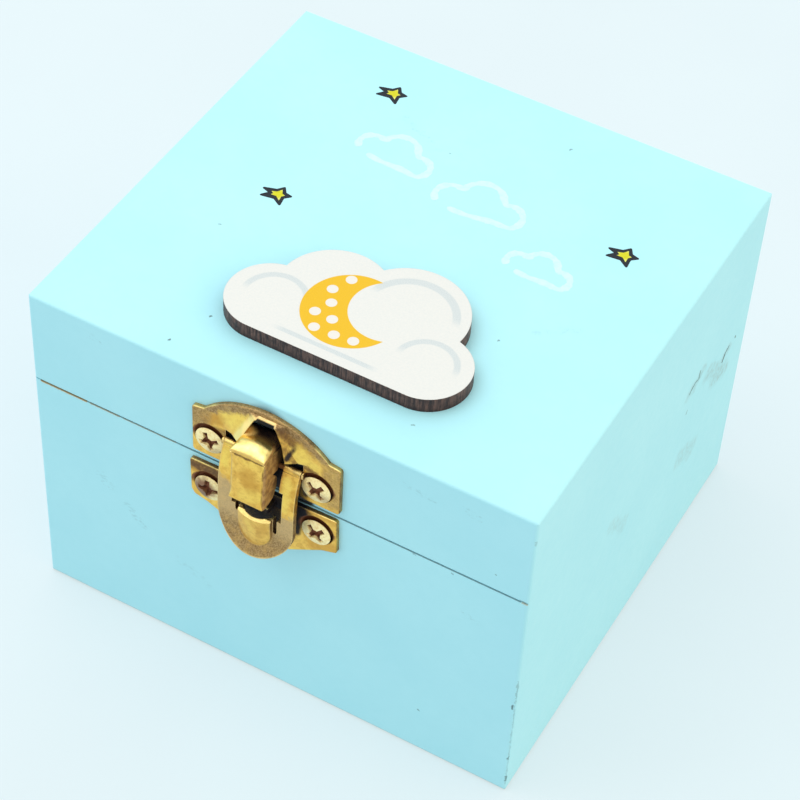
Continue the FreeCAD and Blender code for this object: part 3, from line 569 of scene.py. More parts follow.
    # painted highlights: cream on upward facets and on the opening's left lip; along the edges rubbed metal with a
    # painted highlight
    pale = k.mul(k.step(nz, 0.42, 0.80), k.step(wide, 0.45, 0.72), k.step(cloudy, 0.3, 0.65, 0.95, 0.65),
                 k.step(nose, 0.1, 0.6, 1.0, 0.1), k.step(z, 70.2, 69.4))
    lip_highlight = k.marks(k.wobble(0.8, 0.5), [(0.95, 1.25, A(-4.4, 69.6, 2.2), A(-7.3, 63.4, 2.2))])
    lip_highlight = k.mul(lip_highlight, k.step(nx, 0.35, 0.1), k.step(d, 1.0, 1.3), k.step(d, 3.2, 2.9))
    rub = k.mul(k.step(edge, 0.80, 0.50), k.step(wide, 0.4, 0.7), k.step(cloudy, 0.3, 0.6, 0.35, 0.9), k.step(nx, 0.5, 0.2))
    col = k.mix(rub, col, (0.99, 0.76, 0.33))
    col = k.mix(k.top(pale, lip_highlight), col, (1.0, 0.83, 0.31))
    k.set("Base Color", col)

    # duller, rougher metal where tarnish, wear or painted shade lie
    dirt_and_shade = k.math("MINIMUM", k.top(brown, k.mul(dull, 0.8), gap_shade, notch_shade, painted_side_light), 1.0)
    k.set("Metallic", k.mul(k.step(dirt_and_shade, 0.0, 1.0, 1.0, 0.55), k.step(painted_side_light, 0.0, 0.9, 1.0, 0.25)))
    k.set("Roughness", k.math("ADD", k.step(dirt_and_shade, 0.0, 1.0, 0.25, 0.52), k.mul(fine, 0.10)))
    h = k.math("ADD", k.mul(cloudy, 1.0), k.mul(fine, 0.25))
    k.set("Normal", k.bump(h, 0.06, 0.6, k.soft_edges(0.20)))
    return k


def dark_brass():
    """Oily brown brass of the hasp's pin."""
    k = Mat("pin_brass")
    a = k.noise(1.2, 5, 0.6)
    b = k.noise(6.0, 4, 0.65)
    col = k.mix(k.step(a, 0.35, 0.7), (0.30, 0.145, 0.045), (0.115, 0.050, 0.020))
    col = k.mix(k.step(b, 0.55, 0.8, 0.0, 0.5), col, (0.045, 0.022, 0.012))
    k.set("Base Color", col)
    k.set("Metallic", 0.8)
    k.set("Roughness", k.step(a, 0.2, 0.8, 0.38, 0.60))
    k.set("Normal", k.bump(b, 0.03, 0.5))
    return k


def screw_metal():
    """Pale plated screws with rust in the cross recess and dirt round the head."""
    k = Mat("screw_steel")
    x, y, z = k.xyz(k.mm())
    d = k.math("SUBTRACT", FRONT_Y, y)
    latch = k.step(y, -44.5, -45.5)
    near = k.ao(1.1)
    spots = k.noise(1.7, 5, 0.65)
    fine = k.noise(6.0, 4, 0.6)
    col = k.mix(k.step(spots, 0.42, 0.70), (1.0, 0.875, 0.455), (0.86, 0.64, 0.265))
    col = k.mix(k.step(fine, 0.58, 0.78, 0.0, 0.4), col, (0.50, 0.29, 0.10))
    stain = k.marks(k.wobble(0.9, 1.8), [(0.95, 3.0, (-13.2, -48.4, 47.8), (-14.6, -48.2, 45.6)), (0.45, 1.6, (10.6, -48.4, 59.0), (11.2, -48.4, 58.2)), (0.35, 1.3, (-10.4, -48.4, 58.4), (-11.4, -48.4, 57.8))])
    col = k.mix(stain, col, (0.20, 0.075, 0.030))
    deep = k.mul(latch, k.step(k.math("ADD", d, k.mul(spots, 0.12)), 1.04, 0.96))
    rust = k.top(deep, k.step(near, 0.62, 0.30))
    col = k.mix(rust, col, (0.245, 0.090, 0.040))
    col = k.mix(k.mul(deep, k.step(near, 0.55, 0.2)), col, (0.095, 0.036, 0.020))
    k.set("Base Color", col)
    k.set("Metallic", k.step(rust, 0.0, 1.0, 0.30, 0.10))
    k.set("Roughness", k.step(rust, 0.0, 1.0, 0.38, 0.75))
    k.set("Normal", k.bump(k.math("ADD", spots, k.mul(fine, 0.4)), 0.04, 0.6, k.soft_edges(0.10)))
    return k


def plaque_print():
    """White print with a dotted yellow moon on laser-cut board with a burnt edge."""
    k = Mat("plaque_print")
    P = k.mm()
    x, y, z = k.xyz(P)
    nx, ny, nz = k.xyz(k.normal())
    flat = k.vmath("MULTIPLY", P, (1.0, 1.0, 0.0))

    def dist(cx, cy, vec=None):
        return k.vmath("DISTANCE", vec if vec is not None else flat, (cx, cy, 0.0))

    fibre = k.noise(2.6, 5, 0.6)
    white = k.mix(k.step(fibre, 0.3, 0.75), (0.665, 0.700, 0.690), (0.625, 0.675, 0.675))
    grain = k.noise(6.5, 3, 0.7)
    grey = k.mix(k.step(grain, 0.38, 0.62), (0.475, 0.560, 0.590), (0.590, 0.655, 0.670))
    # soft grey curls inside the lobes
    curls = None
    for cx, cy, r, w, lo in ((10.0, -19.0, 8.3, 0.9, -16.5), (-11.9, -27.6, 5.7, 0.75, -27.5), (18.2, -27.8, 5.4, 0.75, -27.0)):
        m = k.mul(k.step(k.math("ABSOLUTE", k.math("SUBTRACT", dist(cx, cy), r)), w, w - 0.35), k.step(y, lo - 1.2, lo + 1.2))
        curls = m if curls is None else k.top(curls, m)
    base_line = k.mul(k.step(k.math("ABSOLUTE", k.math("ADD", y, 33.4)), 0.6, 0.35), k.step(x, -9.0, -6.0), k.step(x, 12.5, 9.5))
    col = k.mix(k.top(curls, base_line), white, grey)
    # crescent
    body = k.step(dist(1.2, -23.4), 9.05, 8.90)
    bite = k.step(dist(6.9, -20.2), 7.15, 7.30)
    moon = k.mul(body, bite)
    yellow = k.mix(k.step(grain, 0.3, 0.7), (0.72, 0.465, 0.010), (0.66, 0.410, 0.008))
    col = k.mix(moon, col, yellow)
    dots = None
    for row in range(-4, 5):
        for place in range(-4, 5):
            px = 1.2 + place * 3.75 + (1.875 if row % 2 else 0.0) + 0.3 * math.sin(row * 2.3 + place)
            py = -23.4 + row * 3.2 + 0.3 * math.cos(row + place * 1.7)
            if math.hypot(px - 1.2, py + 23.4) < 7.75 and math.hypot(px - 6.9, py + 20.2) > 8.35:
                m = k.step(dist(px, py), 1.08, 0.96)
                dots = m if dots is None else k.top(dots, m)
    col = k.mix(dots, col, (0.68, 0.69, 0.66))

    # burnt side with fine upright scorch lines
    lines = k.noise(2.4, 5, 0.65, stretch=(1.0, 1.0, 0.10))
    soot = k.noise(0.7, 4, 0.6)
    side = k.mix(k.step(lines, 0.34, 0.68), (0.030, 0.014, 0.016), (0.17, 0.088, 0.070))
    side = k.mix(k.step(soot, 0.45, 0.7, 0.0, 0.7), side, (0.022, 0.011, 0.013))
    side = k.mix(k.step(z, 76.2, 75.1, 0.0, 0.6), side, (0.018, 0.010, 0.012))
    rim = k.step(k.math("ADD", z, k.mul(soot, 0.35)), 77.75, 78.05)
    col = k.mix(k.step(nz, 0.75, 0.45), col, side)
    k.set("Base Color", col)
    k.set("Roughness", k.step(fibre, 0.2, 0.8, 0.42, 0.60))
    k.set("Specular IOR Level", 0.3)
    h = k.math("ADD", k.mul(fibre, 0.35), k.mul(lines, k.step(nz, 0.75, 0.45)))
    k.set("Normal", k.bump(h, 0.10, 0.7, k.soft_edges(0.18)))
    return k


def bare_wood(name, axis, seed, dark=(0.36, 0.20, 0.085), light=(0.66, 0.46, 0.245)):
    k = Mat(name)
    col, streak, pores = wood_color(k, axis, dark, light, seed)
    # painted shade: darker in corners and recesses
    corner_shade = k.ao(1.2)
    col = k.mix(k.step(corner_shade, 0.65, 0.2, 0.0, 0.6), col, tuple(c * 0.4 for c in dark))
    k.set("Base Color", col)
    k.set("Roughness", k.step(streak, 0.2, 0.8, 0.55, 0.75))
    k.set("Specular IOR Level", 0.3)
    k.set("Normal", k.bump(k.math("SUBTRACT", streak, k.mul(pores, 0.5)), 0.10, 0.6))
    return k


def spring_wire():
    k = Mat("spring_steel")
    run = k.noise(1.4, 5, 0.6)
    fine = k.noise(7.0, 4, 0.7)
    col = k.mix(k.step(run, 0.35, 0.7), (0.58, 0.57, 0.56), (0.36, 0.34, 0.32))
    col = k.mix(k.step(fine, 0.62, 0.78, 0.0, 0.5), col, (0.26, 0.17, 0.10))
    k.set("Base Color", col)
    k.set("Metallic", 1.0)
    k.set("Roughness", k.step(run, 0.2, 0.8, 0.22, 0.42))
    k.set("Normal", k.bump(fine, 0.02, 0.5))
    return k


def turned_paint(name, main, worn, trim=None, z0=0.0, z1=0.0):
    """Satin paint on turned wood: brush drift, lathe lines, rubbed edges and an optional band."""
    k = Mat(name)
    x, y, z = k.xyz(k.mm())
    drift = k.noise(0.22, 4, 0.55)
    brush = k.noise(1.1, 5, 0.6, stretch=(0.25, 0.25, 2.4))
    fine = k.noise(4.2, 4, 0.6)
    col = k.mix(k.step(drift, 0.3, 0.7), main, tuple(c * 0.84 for c in main))
    if trim:
        wz = k.math("ADD", z, k.mul(k.math("SUBTRACT", k.noise(0.9, 3, 0.5), 0.5), 0.5))
        band = k.mul(k.step(wz, z0 - 0.12, z0 + 0.12), k.step(wz, z1 + 0.12, z1 - 0.12))
        col = k.mix(band, col, trim)
    col = k.mix(k.step(brush, 0.52, 0.75, 0.0, 0.25), col, tuple(min(1.0, c * 1.25 + 0.02) for c in main))
    edge = k.ao(0.55, inside=True)
    rub = k.mul(k.step(edge, 0.72, 0.45), k.step(fine, 0.42, 0.58))
    col = k.mix(rub, col, worn)
    k.set("Base Color", col)
    k.set("Roughness", k.step(brush, 0.2, 0.8, 0.30, 0.48))
    k.set("Normal", k.bump(k.math("ADD", brush, k.mul(fine, 0.3)), 0.05, 0.5))
    return k


def head_wood():
    """Waxed pale wood with lathe lines and a rosy warmth on the cheeks."""
    k = Mat("jack_skin")
    col, streak, pores = wood_color(k, "z", (0.56, 0.34, 0.17), (0.78, 0.56, 0.35), 31.0)
    lathe = k.noise(2.6, 4, 0.6, stretch=(0.08, 0.08, 1.0))
    col = k.mix(k.step(lathe, 0.5, 0.72, 0.0, 0.25), col, (0.52, 0.31, 0.16))
    Q = k.wobble(0.9, 0.8)
    warm = None
    for cx in (-5.3, 5.3):
        m = k.step(k.vmath("DISTANCE", Q, (cx, -8.7, 45.6)), 2.9, 0.9, 0.0, 0.62)
        warm = m if warm is None else k.top(warm, m)
    col = k.mix(warm, col, (0.74, 0.24, 0.15))
    k.set("Base Color", col)
    k.set("Roughness", k.step(streak, 0.2, 0.8, 0.30, 0.45))
    k.set("Normal", k.bump(k.math("ADD", lathe, k.mul(pores, 0.4)), 0.05, 0.5))
    return k


def felt():
    k = Mat("felt")
    tuft = k.noise(1.2, 6, 0.7)
    hair = k.noise(9.0, 4, 0.75, distort=1.5)
    col = k.mix(k.step(tuft, 0.3, 0.7), (0.86, 0.82, 0.72), (0.72, 0.66, 0.55))
    col = k.mix(k.step(hair, 0.5, 0.75, 0.0, 0.5), col, (0.95, 0.92, 0.85))
    k.set("Base Color", col)
    k.set("Roughness", 0.95)
    k.set("Specular IOR Level", 0.15)
    k.set("Sheen Weight", 0.4)
    k.set("Normal", k.bump(k.math("ADD", tuft, k.mul(hair, 0.8)), 0.35, 0.8))
    return k


def ink(name, a, b, rough=0.55, scale=2.5):
    """A thin printed or brushed colour with an uneven, slightly grainy tone."""
    k = Mat(name)
    t = k.noise(scale, 5, 0.65)
    g = k.noise(scale * 3.1, 3, 0.6)
    col = k.mix(k.step(t, 0.35, 0.68), a, b)
    col = k.mix(k.step(g, 0.55, 0.8, 0.0, 0.3), col, tuple(min(1.0, c * 1.2 + 0.02) for c in a))
    k.set("Base Color", col)
    k.set("Roughness", k.step(g, 0.2, 0.8, rough - 0.08, rough + 0.08))
    k.set("Specular IOR Level", 0.3)
    k.set("Normal", k.bump(t, 0.02, 0.5))
    return k


STARS = ((-22.95, 34.05, 1.0, 0.0), (34.0, 17.25, 1.0, -2.0), (-26.75, -1.8, 0.98, 1.5))


def star_yellow():
    """Lemon yellow that was laid on thin towards the points."""
    k = Mat("star_yellow")
    t = k.noise(2.5, 5, 0.65)
    col = k.mix(k.step(t, 0.35, 0.68), (0.585, 0.600, 0.008), (0.530, 0.535, 0.006))
    far = None
    for sx, sy, size, turn in STARS:
        r = k.vmath("LENGTH", k.vmath("MULTIPLY", k.vmath("SUBTRACT", k.mm(), (sx, sy, 0.0)), (1.0, 1.0, 0.0)))
        m = k.step(r, 0.75, 1.45)
        far = m if far is None else k.math("MINIMUM", far, m)
    col = k.mix(k.mul(far, 0.75), col, (0.66, 0.74, 0.22))
    k.set("Base Color", col)
    k.set("Roughness", k.step(t, 0.2, 0.8, 0.47, 0.63))
    k.set("Specular IOR Level", 0.3)
    k.set("Normal", k.bump(t, 0.02, 0.5))
    return k


M_PAINT_FRONT = painted_wood("painted_wood_front", "x", 3.0, "front")
M_PAINT_RIGHT = painted_wood("painted_wood_right", "y", 17.0, "right")
M_PAINT_TOP = painted_wood("painted_wood_top", "x", 3.0, "top")
M_PAINT_X = painted_wood("painted_wood_x", "x", 29.0, "back")
M_PAINT_Y = painted_wood("painted_wood_y", "y", 11.0, "left")
M_BRASS = brass()
M_PIN = dark_brass()
M_SCREW = screw_metal()
M_PLAQUE = plaque_print()
M_BASE = bare_wood("base_wood", "x", 40.0)
M_SEAT = bare_wood("seat_wood", "x", 55.0, (0.42, 0.25, 0.11), (0.72, 0.53, 0.30))
M_PLATFORM = bare_wood("platform_wood", "y", 70.0, (0.42, 0.25, 0.11), (0.72, 0.53, 0.30))
M_STEEL = spring_wire()
M_RED = turned_paint("jack_red", (0.56, 0.028, 0.022), (0.60, 0.38, 0.20), (0.86, 0.52, 0.035), 52.9, 54.0)
M_YELLOW = turned_paint("jack_yellow", (0.86, 0.53, 0.035), (0.62, 0.42, 0.22), (0.56, 0.028, 0.022), 30.9, 32.0)
M_NOSE = turned_paint("jack_nose_red", (0.62, 0.035, 0.025), (0.62, 0.30, 0.18))
M_SKIN = head_wood()
M_FELT = felt()
M_STAR = star_yellow()
M_LINE = ink("star_line", (0.003, 0.008, 0.014), (0.006, 0.014, 0.024))
M_WHITE = ink("white_stroke", (0.545, 0.805, 0.865), (0.480, 0.790, 0.865), scale=0.8)
M_DARK = ink("eye_dark", (0.012, 0.010, 0.010), (0.030, 0.022, 0.018), 0.25)
M_LIPS = ink("mouth_red", (0.45, 0.035, 0.030), (0.36, 0.025, 0.022), 0.4)

by_slot = {
    "plaque_print": M_PLAQUE, "aged_brass": M_BRASS, "screw_steel": M_SCREW, "spring_steel": M_STEEL,
    "jack_yellow": M_YELLOW, "jack_red": M_RED, "jack_skin": M_SKIN, "felt": M_FELT,
}
by_node = {
    "base_panel": M_BASE, "spring_seat": M_SEAT, "jack_platform": M_PLATFORM, "jack_nose": M_NOSE, "latch_hinge_pin": M_PIN,
    "front_wall": M_PAINT_FRONT, "lid_front_rail": M_PAINT_FRONT, "lid_top": M_PAINT_TOP,
    "right_wall": M_PAINT_RIGHT, "lid_right_rail": M_PAINT_RIGHT, "back_wall": M_PAINT_X, "lid_back_rail": M_PAINT_X,
    "left_wall": M_PAINT_Y, "lid_left_rail": M_PAINT_Y,
}
for sp in frame["record"]["subparts"]:
    assign(N[sp["node"]], by_node.get(sp["node"]) or by_slot[sp["material_slot"]])


# ------------------------------------------------------------------ mesh helpers
def make(name, verts, faces, mat, body=None, slot=None, smooth=True):
    """A mesh object from points in mm."""
    me = bpy.data.meshes.new(name)
    me.from_pydata([(x * MM, y * MM, z * MM) for x, y, z in verts], [], faces)
    me.update()
    bm = bmesh.new()
    bm.from_mesh(me)
    bmesh.ops.recalc_face_normals(bm, faces=bm.faces)
    bm.to_mesh(me)
    bm.free()
    for p in me.polygons:
        p.use_smooth = smooth
    o = bpy.data.objects.new(name, me)
    scene.collection.objects.link(o)
    me.materials.append(mat.m)
    if body:
        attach(o, body)
    return o


def slab(outline, z0, z1, inset=0.05):
    """A thin closed slab over an outline, with a bevelled top edge."""
    n = len(outline)
    cx = sum(p[0] for p in outline) / n
    cy = sum(p[1] for p in outline) / n
    verts = [(x, y, z0) for x, y in outline] + [(x, y, z1 - inset * 0.5) for x, y in outline]
    for i in range(n):
        (ax, ay), (bx, by), (px, py) = outline[i - 1], outline[(i + 1) % n], outline[i]
        tx, ty = bx - ax, by - ay
        ln = math.hypot(tx, ty) or 1.0
        verts.append((px - ty / ln * inset, py + tx / ln * inset, z1))
    faces = [tuple(range(n - 1, -1, -1)), tuple(range(2 * n, 3 * n))]
    for r in (0, n):
        faces += [(r + i, r + (i + 1) % n, r + n + (i + 1) % n, r + n + i) for i in range(n)]
    return verts, faces


def star_points(points, cx, cy, size, turn):
    c, n = size * math.cos(turn), size * math.sin(turn)
    return [(cx + c * x - n * y, cy + n * x + c * y) for x, y in points]


def grown(points, r, steps=5):
    """A counter-clockwise outline moved outwards, with round outer corners."""
    out, n = [], len(points)
    for i in range(n):
        p0, p1, p2 = Vector(points[i - 1]), Vector(points[i]), Vector(points[(i + 1) % n])
        d1, d2 = (p1 - p0).normalized(), (p2 - p1).normalized()
        n1, n2 = Vector((d1.y, -d1.x)), Vector((d2.y, -d2.x))
        cross = d1.x * d2.y - d1.y * d2.x
        if cross > 0:
            a1, a2 = math.atan2(n1.y, n1.x), math.atan2(n2.y, n2.x)
            while a2 < a1:
                a2 += 2 * math.pi
            for s in range(steps + 1):
                a = a1 + (a2 - a1) * s / steps
                out.append((p1.x + r * math.cos(a), p1.y + r * math.sin(a)))
        else:
            m = (n1 + n2).normalized()
            out.append(tuple(p1 + m * (r / max(0.35, m.dot(n1)))))
    return out


def smooth_path(points, per=10):
    """Points along a smooth curve through the given ones."""
    out = []
    n = len(points)
    for i in range(n - 1):
        p0, p1, p2, p3 = points[max(0, i - 1)], points[i], points[i + 1], points[min(n - 1, i + 2)]
        for s in range(per):
            t = s / per
            out.append(tuple(
                0.5 * (2 * b + (c - a) * t + (2 * a - 5 * b + 4 * c - d) * t * t + (3 * b - a - 3 * c + d) * t ** 3)
                for a, b, c, d in zip(p0, p1, p2, p3)))
    out.append(points[-1])
    return out


def strip_mesh(path, half, z0, z1):
    """A brushed line as a strip with a low rounded section, so that it can curve freely."""
    n = len(path)
    prof = [(-1.0, 0.0), (-0.86, 0.8), (-0.4, 1.0), (0.4, 1.0), (0.86, 0.8), (1.0, 0.0)]
    m = len(prof)
    verts, faces = [], []
    for i, p in enumerate(path):
        a, b = Vector(path[max(0, i - 1)]), Vector(path[min(n - 1, i + 1)])
        t = (b - a).normalized()
        end = min(i, n - 1 - i)
        w = half * (1.0 + 0.16 * math.sin(i * 0.37) + 0.08 * math.sin(i * 1.13)) * min(1.0, math.sqrt((end + 0.25) / 3.0))
        for u, h in prof:
            verts.append((p[0] - t.y * w * u, p[1] + t.x * w * u, z0 + (z1 - z0) * h))
    for i in range(n - 1):
        for j in range(m - 1):
            faces.append((i * m + j, i * m + j + 1, (i + 1) * m + j + 1, (i + 1) * m + j))
        faces.append((i * m + m - 1, i * m, (i + 1) * m, (i + 1) * m + m - 1))
    faces.append(tuple(range(m - 1, -1, -1)))
    faces.append(tuple((n - 1) * m + j for j in range(m)))
    return verts, faces


# ------------------------------------------------------------------ printed ornaments on the lid
TOP = 75.0
# hand-drawn five-point stars, two points drawn out, a thick dark line round a yellow middle
STAR_LINE = [(2.40, 0.62), (1.02, 0.92), (0.22, 2.12), (-0.72, 0.98), (-3.10, 0.24), (-1.50, -0.32), (-2.62, -1.68),
             (0.0, -1.28), (1.62, -2.32), (1.34, -0.40)]
STAR_MIDDLE = [(1.36, 0.30), (0.70, 0.46), (0.16, 1.48), (-0.44, 0.54), (-1.45, 0.14), (-0.86, -0.24), (-1.10, -0.70),
               (-0.02, -0.62), (1.02, -1.44), (0.88, -0.28)]
for i, (sx, sy, size, turn) in enumerate(STARS):
    turn = math.radians(turn)
    make("star_line_%d" % (i + 1), *slab(grown(star_points(STAR_LINE, sx, sy, size, turn), 0.24), TOP - 0.02, TOP + 0.03, 0.03),
         M_LINE, "lid", "plaque_print", False)
    make("star_%d" % (i + 1), *slab(star_points(STAR_MIDDLE, sx, sy, size, turn), TOP - 0.01, TOP + 0.05, 0.03),
         M_STAR, "lid", "plaque_print", False)


def cloud_path(cx, cy, s, turn):
    """A small cloud drawn in one line: three bumps and a flat foot."""
    pts = []
    for bx, by, r, a0, a1 in ((-4.3, 0.6, 2.3, 232, 78), (-0.2, 2.3, 3.1, 168, 24), (4.3, 0.4, 2.4, 112, -52)):
        for q in range(13):
            a = math.radians(a0 + (a1 - a0) * q / 12)
            pts.append((bx + r * math.cos(a), by + r * math.sin(a)))
    x1, y1 = pts[-1]
    x0, y0 = pts[0]
    foot = -1.75
    for q in range(1, 10):
        t = q / 10
        pts.append((x1 + (x0 + 0.9 - x1) * t, foot + 0.22 * math.sin(t * 7)))
    c, n = math.cos(turn), math.sin(turn)
    return [(cx + s * (c * x - n * y), cy + s * (n * x + c * y)) for x, y in pts]


for i, (cx, cy, s, turn) in enumerate(((-14.2, 18.1, 1.15, -0.10), (5.7, 14.1, 1.30, 0.06), (22.6, 4.9, 0.95, -0.05))):
    make("cloud_line_%d" % (i + 1), *strip_mesh(smooth_path(cloud_path(cx, cy, s, turn), 3), 0.72, TOP - 0.02, TOP + 0.04),
         M_WHITE, "lid", "plaque_print")

# ------------------------------------------------------------------ the latch's bill
# folded brass with round sides, a crease at the brow and a domed top that narrows to the neck
front_line = smooth_path([
    (55.50, 5.2), (55.46, 6.25), (55.78, 6.80), (56.5, 6.86), (60.0, 6.72), (64.0, 6.46), (66.3, 6.23), (66.6, 6.15),
    (66.72, 6.02), (66.84, 6.12), (66.95, 6.30), (67.15, 6.26), (67.55, 5.90), (68.1, 5.05), (68.42, 4.0), (68.42, 2.8), (68.12, 1.5),
    (67.9, 0.5), (67.85, -0.55)], 4)
back_line = []
corners = [(67.85, -0.55), (61.35, -0.55), (61.35, 1.6), (61.9, 3.25), (60.15, 1.85), (59.4, 1.65), (57.4, 1.95), (55.95, 3.2), (55.5, 5.2)]
for a, b in zip(corners, corners[1:]):
    steps = max(2, int(math.hypot(b[0] - a[0], b[1] - a[1]) / 0.35))
    back_line += [(a[0] + (b[0] - a[0]) * q / steps, a[1] + (b[1] - a[1]) * q / steps) for q in range(1, steps + 1)]
line = front_line + back_line[:-1]
n_line, n_front = len(line), len(front_line)


def inward(i):
    a, b = Vector(line[i - 1]), Vector(line[(i + 1) % n_line])
    t = (b - a).normalized()
    return Vector((-t.y, t.x))


turn_sign = 1.0 if sum(a[0] * b[1] - b[0] * a[1] for a, b in zip(line, line[1:] + line[:1])) > 0 else -1.0
BILL_HALF = 3.42
BILL_X = LX - 0.36

# how far the rounding may go in at each point, so that it never folds over at a tight corner
arc = [0.0]
for a, b in zip(line, line[1:] + line[:1]):
    arc.append(arc[-1] + math.hypot(b[0] - a[0], b[1] - a[1]))
tight = []
for i in range(n_line):
    a, b, c = Vector(line[i - 1]), Vector(line[i]), Vector(line[(i + 1) % n_line])
    e, f = b - a, c - b
    bend = math.atan2(e.x * f.y - e.y * f.x, e.dot(f)) * turn_sign
    if bend > 0.12:
        tight.append((arc[i], max(0.05, 0.55 * (e.length + f.length) / 2.0 / bend)))


def room(i):
    best = 9.0
    for at, lim in tight:
        gap = abs(arc[i] - at)
        best = min(best, lim + 0.62 * min(gap, arc[-1] - gap))
    return best


cols = [(-1, q) for q in range(6)] + [(0, q) for q in range(1, 10)] + [(1, q) for q in range(5, -1, -1)]
verts, faces = [], []
for i, (pz, pd) in enumerate(line):
    nrm = inward(i) * turn_sign
    on_front = i < n_front
    roof = on_front and pz > 66.9
    share = max(0.0, min(1.0, (6.2 - pd) / 1.6)) if roof else 0.0
    fade = max(0.0, min(1.0, (pd + 0.55) / 1.6)) if roof else 1.0
    r = 0.2 if not on_front else (0.2 + fade * (0.50 + 0.50 * share) if roof else 0.85)
    if on_front and pz <= 55.8:
        r = 0.30
    dome = 0.34 * share * fade if roof else (0.12 if on_front and pz > 56 else 0.0)
    dome = min(dome, 0.35 * room(i))
    r = min(r, room(i) - dome)
    lo = BILL_HALF - r
    hi = lo - 0.62 * max(0.0, min(1.0, (3.6 - pd) / 3.0)) * (1.0 if on_front else 0.3)
    ring = []
    for kind, q in cols:
        if kind == 0:
            u = -1.0 + 0.2 * q
            ring.append((-lo + (lo + hi) * (u + 1.0) / 2.0, dome * u * u))
        else:
            th = math.radians(90.0 - 18.0 * q)
            ring.append((kind * ((hi if kind > 0 else lo) + r * math.sin(th)), dome + r * (1.0 - math.cos(th))))
    for u, ins in ring:
        q = Vector((pz, pd)) + nrm * ins
        verts.append((BILL_X + u, FRONT_Y - q.y, q.x))
per_ring = len(cols)
for i in range(n_line):
    i2 = (i + 1) % n_line
    faces += [(i * per_ring + j, i * per_ring + j + 1, i2 * per_ring + j + 1, i2 * per_ring + j) for j in range(per_ring - 1)]
n_round = len(faces)
for j in (0, per_ring - 1):
    flat = [Vector((verts[i * per_ring + j][1], verts[i * per_ring + j][2], 0.0)) for i in range(n_line)]
    for tri in tessellate_polygon([flat]):
        faces.append(tuple(i * per_ring + j for i in tri))
bill = make("latch_bill", verts, faces, M_BRASS, "lid", "aged_brass")
for poly in bill.data.polygons:
    if poly.index >= n_round:
        poly.use_smooth = False
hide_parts("latch_tongue")

# ------------------------------------------------------------------ spring
# a wound wire of even pitch, its two ends capped; every ring of the wire moves as one when the jack rises
R_COIL, R_WIRE, TURNS, PER, SIDES = 16.0, 0.9, 7.0, 56, 14
z_low, z_high = 8.0 + R_WIRE + 0.05, 26.0 - R_WIRE - 0.05
rings = int(TURNS * PER) + 1
verts, faces, ring_t = [], [], []
for i in range(rings):
    t = i / (rings - 1)
    a = t * TURNS * 2 * math.pi
    zc = z_low + (z_high - z_low) * t
    tangent = Vector((-math.sin(a), math.cos(a), (z_high - z_low) / (TURNS * 2 * math.pi * R_COIL))).normalized()
    radial = Vector((math.cos(a), math.sin(a), 0))
    upward = tangent.cross(radial) * -1.0
    for j in range(SIDES):
        b = 2 * math.pi * j / SIDES
        v = Vector((R_COIL * math.cos(a), R_COIL * math.sin(a), zc)) + radial * (R_WIRE * math.cos(b)) + upward * (R_WIRE * math.sin(b))
        verts.append(tuple(v))
        ring_t.append(t)
for i in range(rings - 1):
    for j in range(SIDES):
        j2 = (j + 1) % SIDES
        faces.append((i * SIDES + j, i * SIDES + j2, (i + 1) * SIDES + j2, (i + 1) * SIDES + j))
faces.append(tuple(range(SIDES)))
faces.append(tuple((rings - 1) * SIDES + j for j in range(SIDES)))
spring = make("spring_coil", verts, faces, M_STEEL, None, "spring_steel")
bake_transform(spring, "box", "jack", (0, 0, 0.008), (0, 0, 0.026))
share = spring.data.attributes["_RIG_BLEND"]
for i, t in enumerate(ring_t):
    share.data[i].value = min(1.0, max(0.0, (t - 0.10) / 0.80))
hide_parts("spring")

# ------------------------------------------------------------------ felt ruff round the neck
RINGS, AROUND, WAVES = 16, 240, 11


def ruff(r_share, a, side):
    rim = 16.9 + 0.85 * math.sqrt(abs(math.cos(a * WAVES / 2.0)))
    r = 4.95 + (rim - 4.95) * r_share
    lift = 1.55 * r_share ** 1.6
    z = 37.15 + lift * math.cos(a * WAVES) + 0.25 * r_share * math.sin(a * 3 + 0.7) + side * 0.42
    return (r * math.cos(a), r * math.sin(a), z)


verts, faces = [], []
for side in (1, -1):
    for i in range(RINGS):
        for j in range(AROUND):
            s = i / (RINGS - 1)
            edge = 1.0 if 0 < i < RINGS - 1 else 0.55
            verts.append(ruff(s, 2 * math.pi * j / AROUND, side * edge))
low = RINGS * AROUND
for i in range(RINGS - 1):
    for j in range(AROUND):
        j2 = (j + 1) % AROUND
        q = (i * AROUND + j, i * AROUND + j2, (i + 1) * AROUND + j2, (i + 1) * AROUND + j)
        faces.append(q)
        faces.append(tuple(low + v for v in reversed(q)))
for i in (0, RINGS - 1):
    for j in range(AROUND):
        j2 = (j + 1) % AROUND
        faces.append((i * AROUND + j, i * AROUND + j2, low + i * AROUND + j2, low + i * AROUND + j))
collar = make("felt_ruff", verts, faces, M_FELT, "jack", "felt")
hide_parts("jack_collar")

# ------------------------------------------------------------------ painted face
HEAD_Z, HEAD_R = 48.1, 10.5


def on_head(u, v, lift):
    """A point on the head, u to its side and v upwards in mm along the surface, from the front."""
    a, b = u / HEAD_R, v / HEAD_R
    r = HEAD_R + lift
    return (r * math.sin(a) * math.cos(b), -r * math.cos(a) * math.cos(b), HEAD_Z + r * math.sin(b))


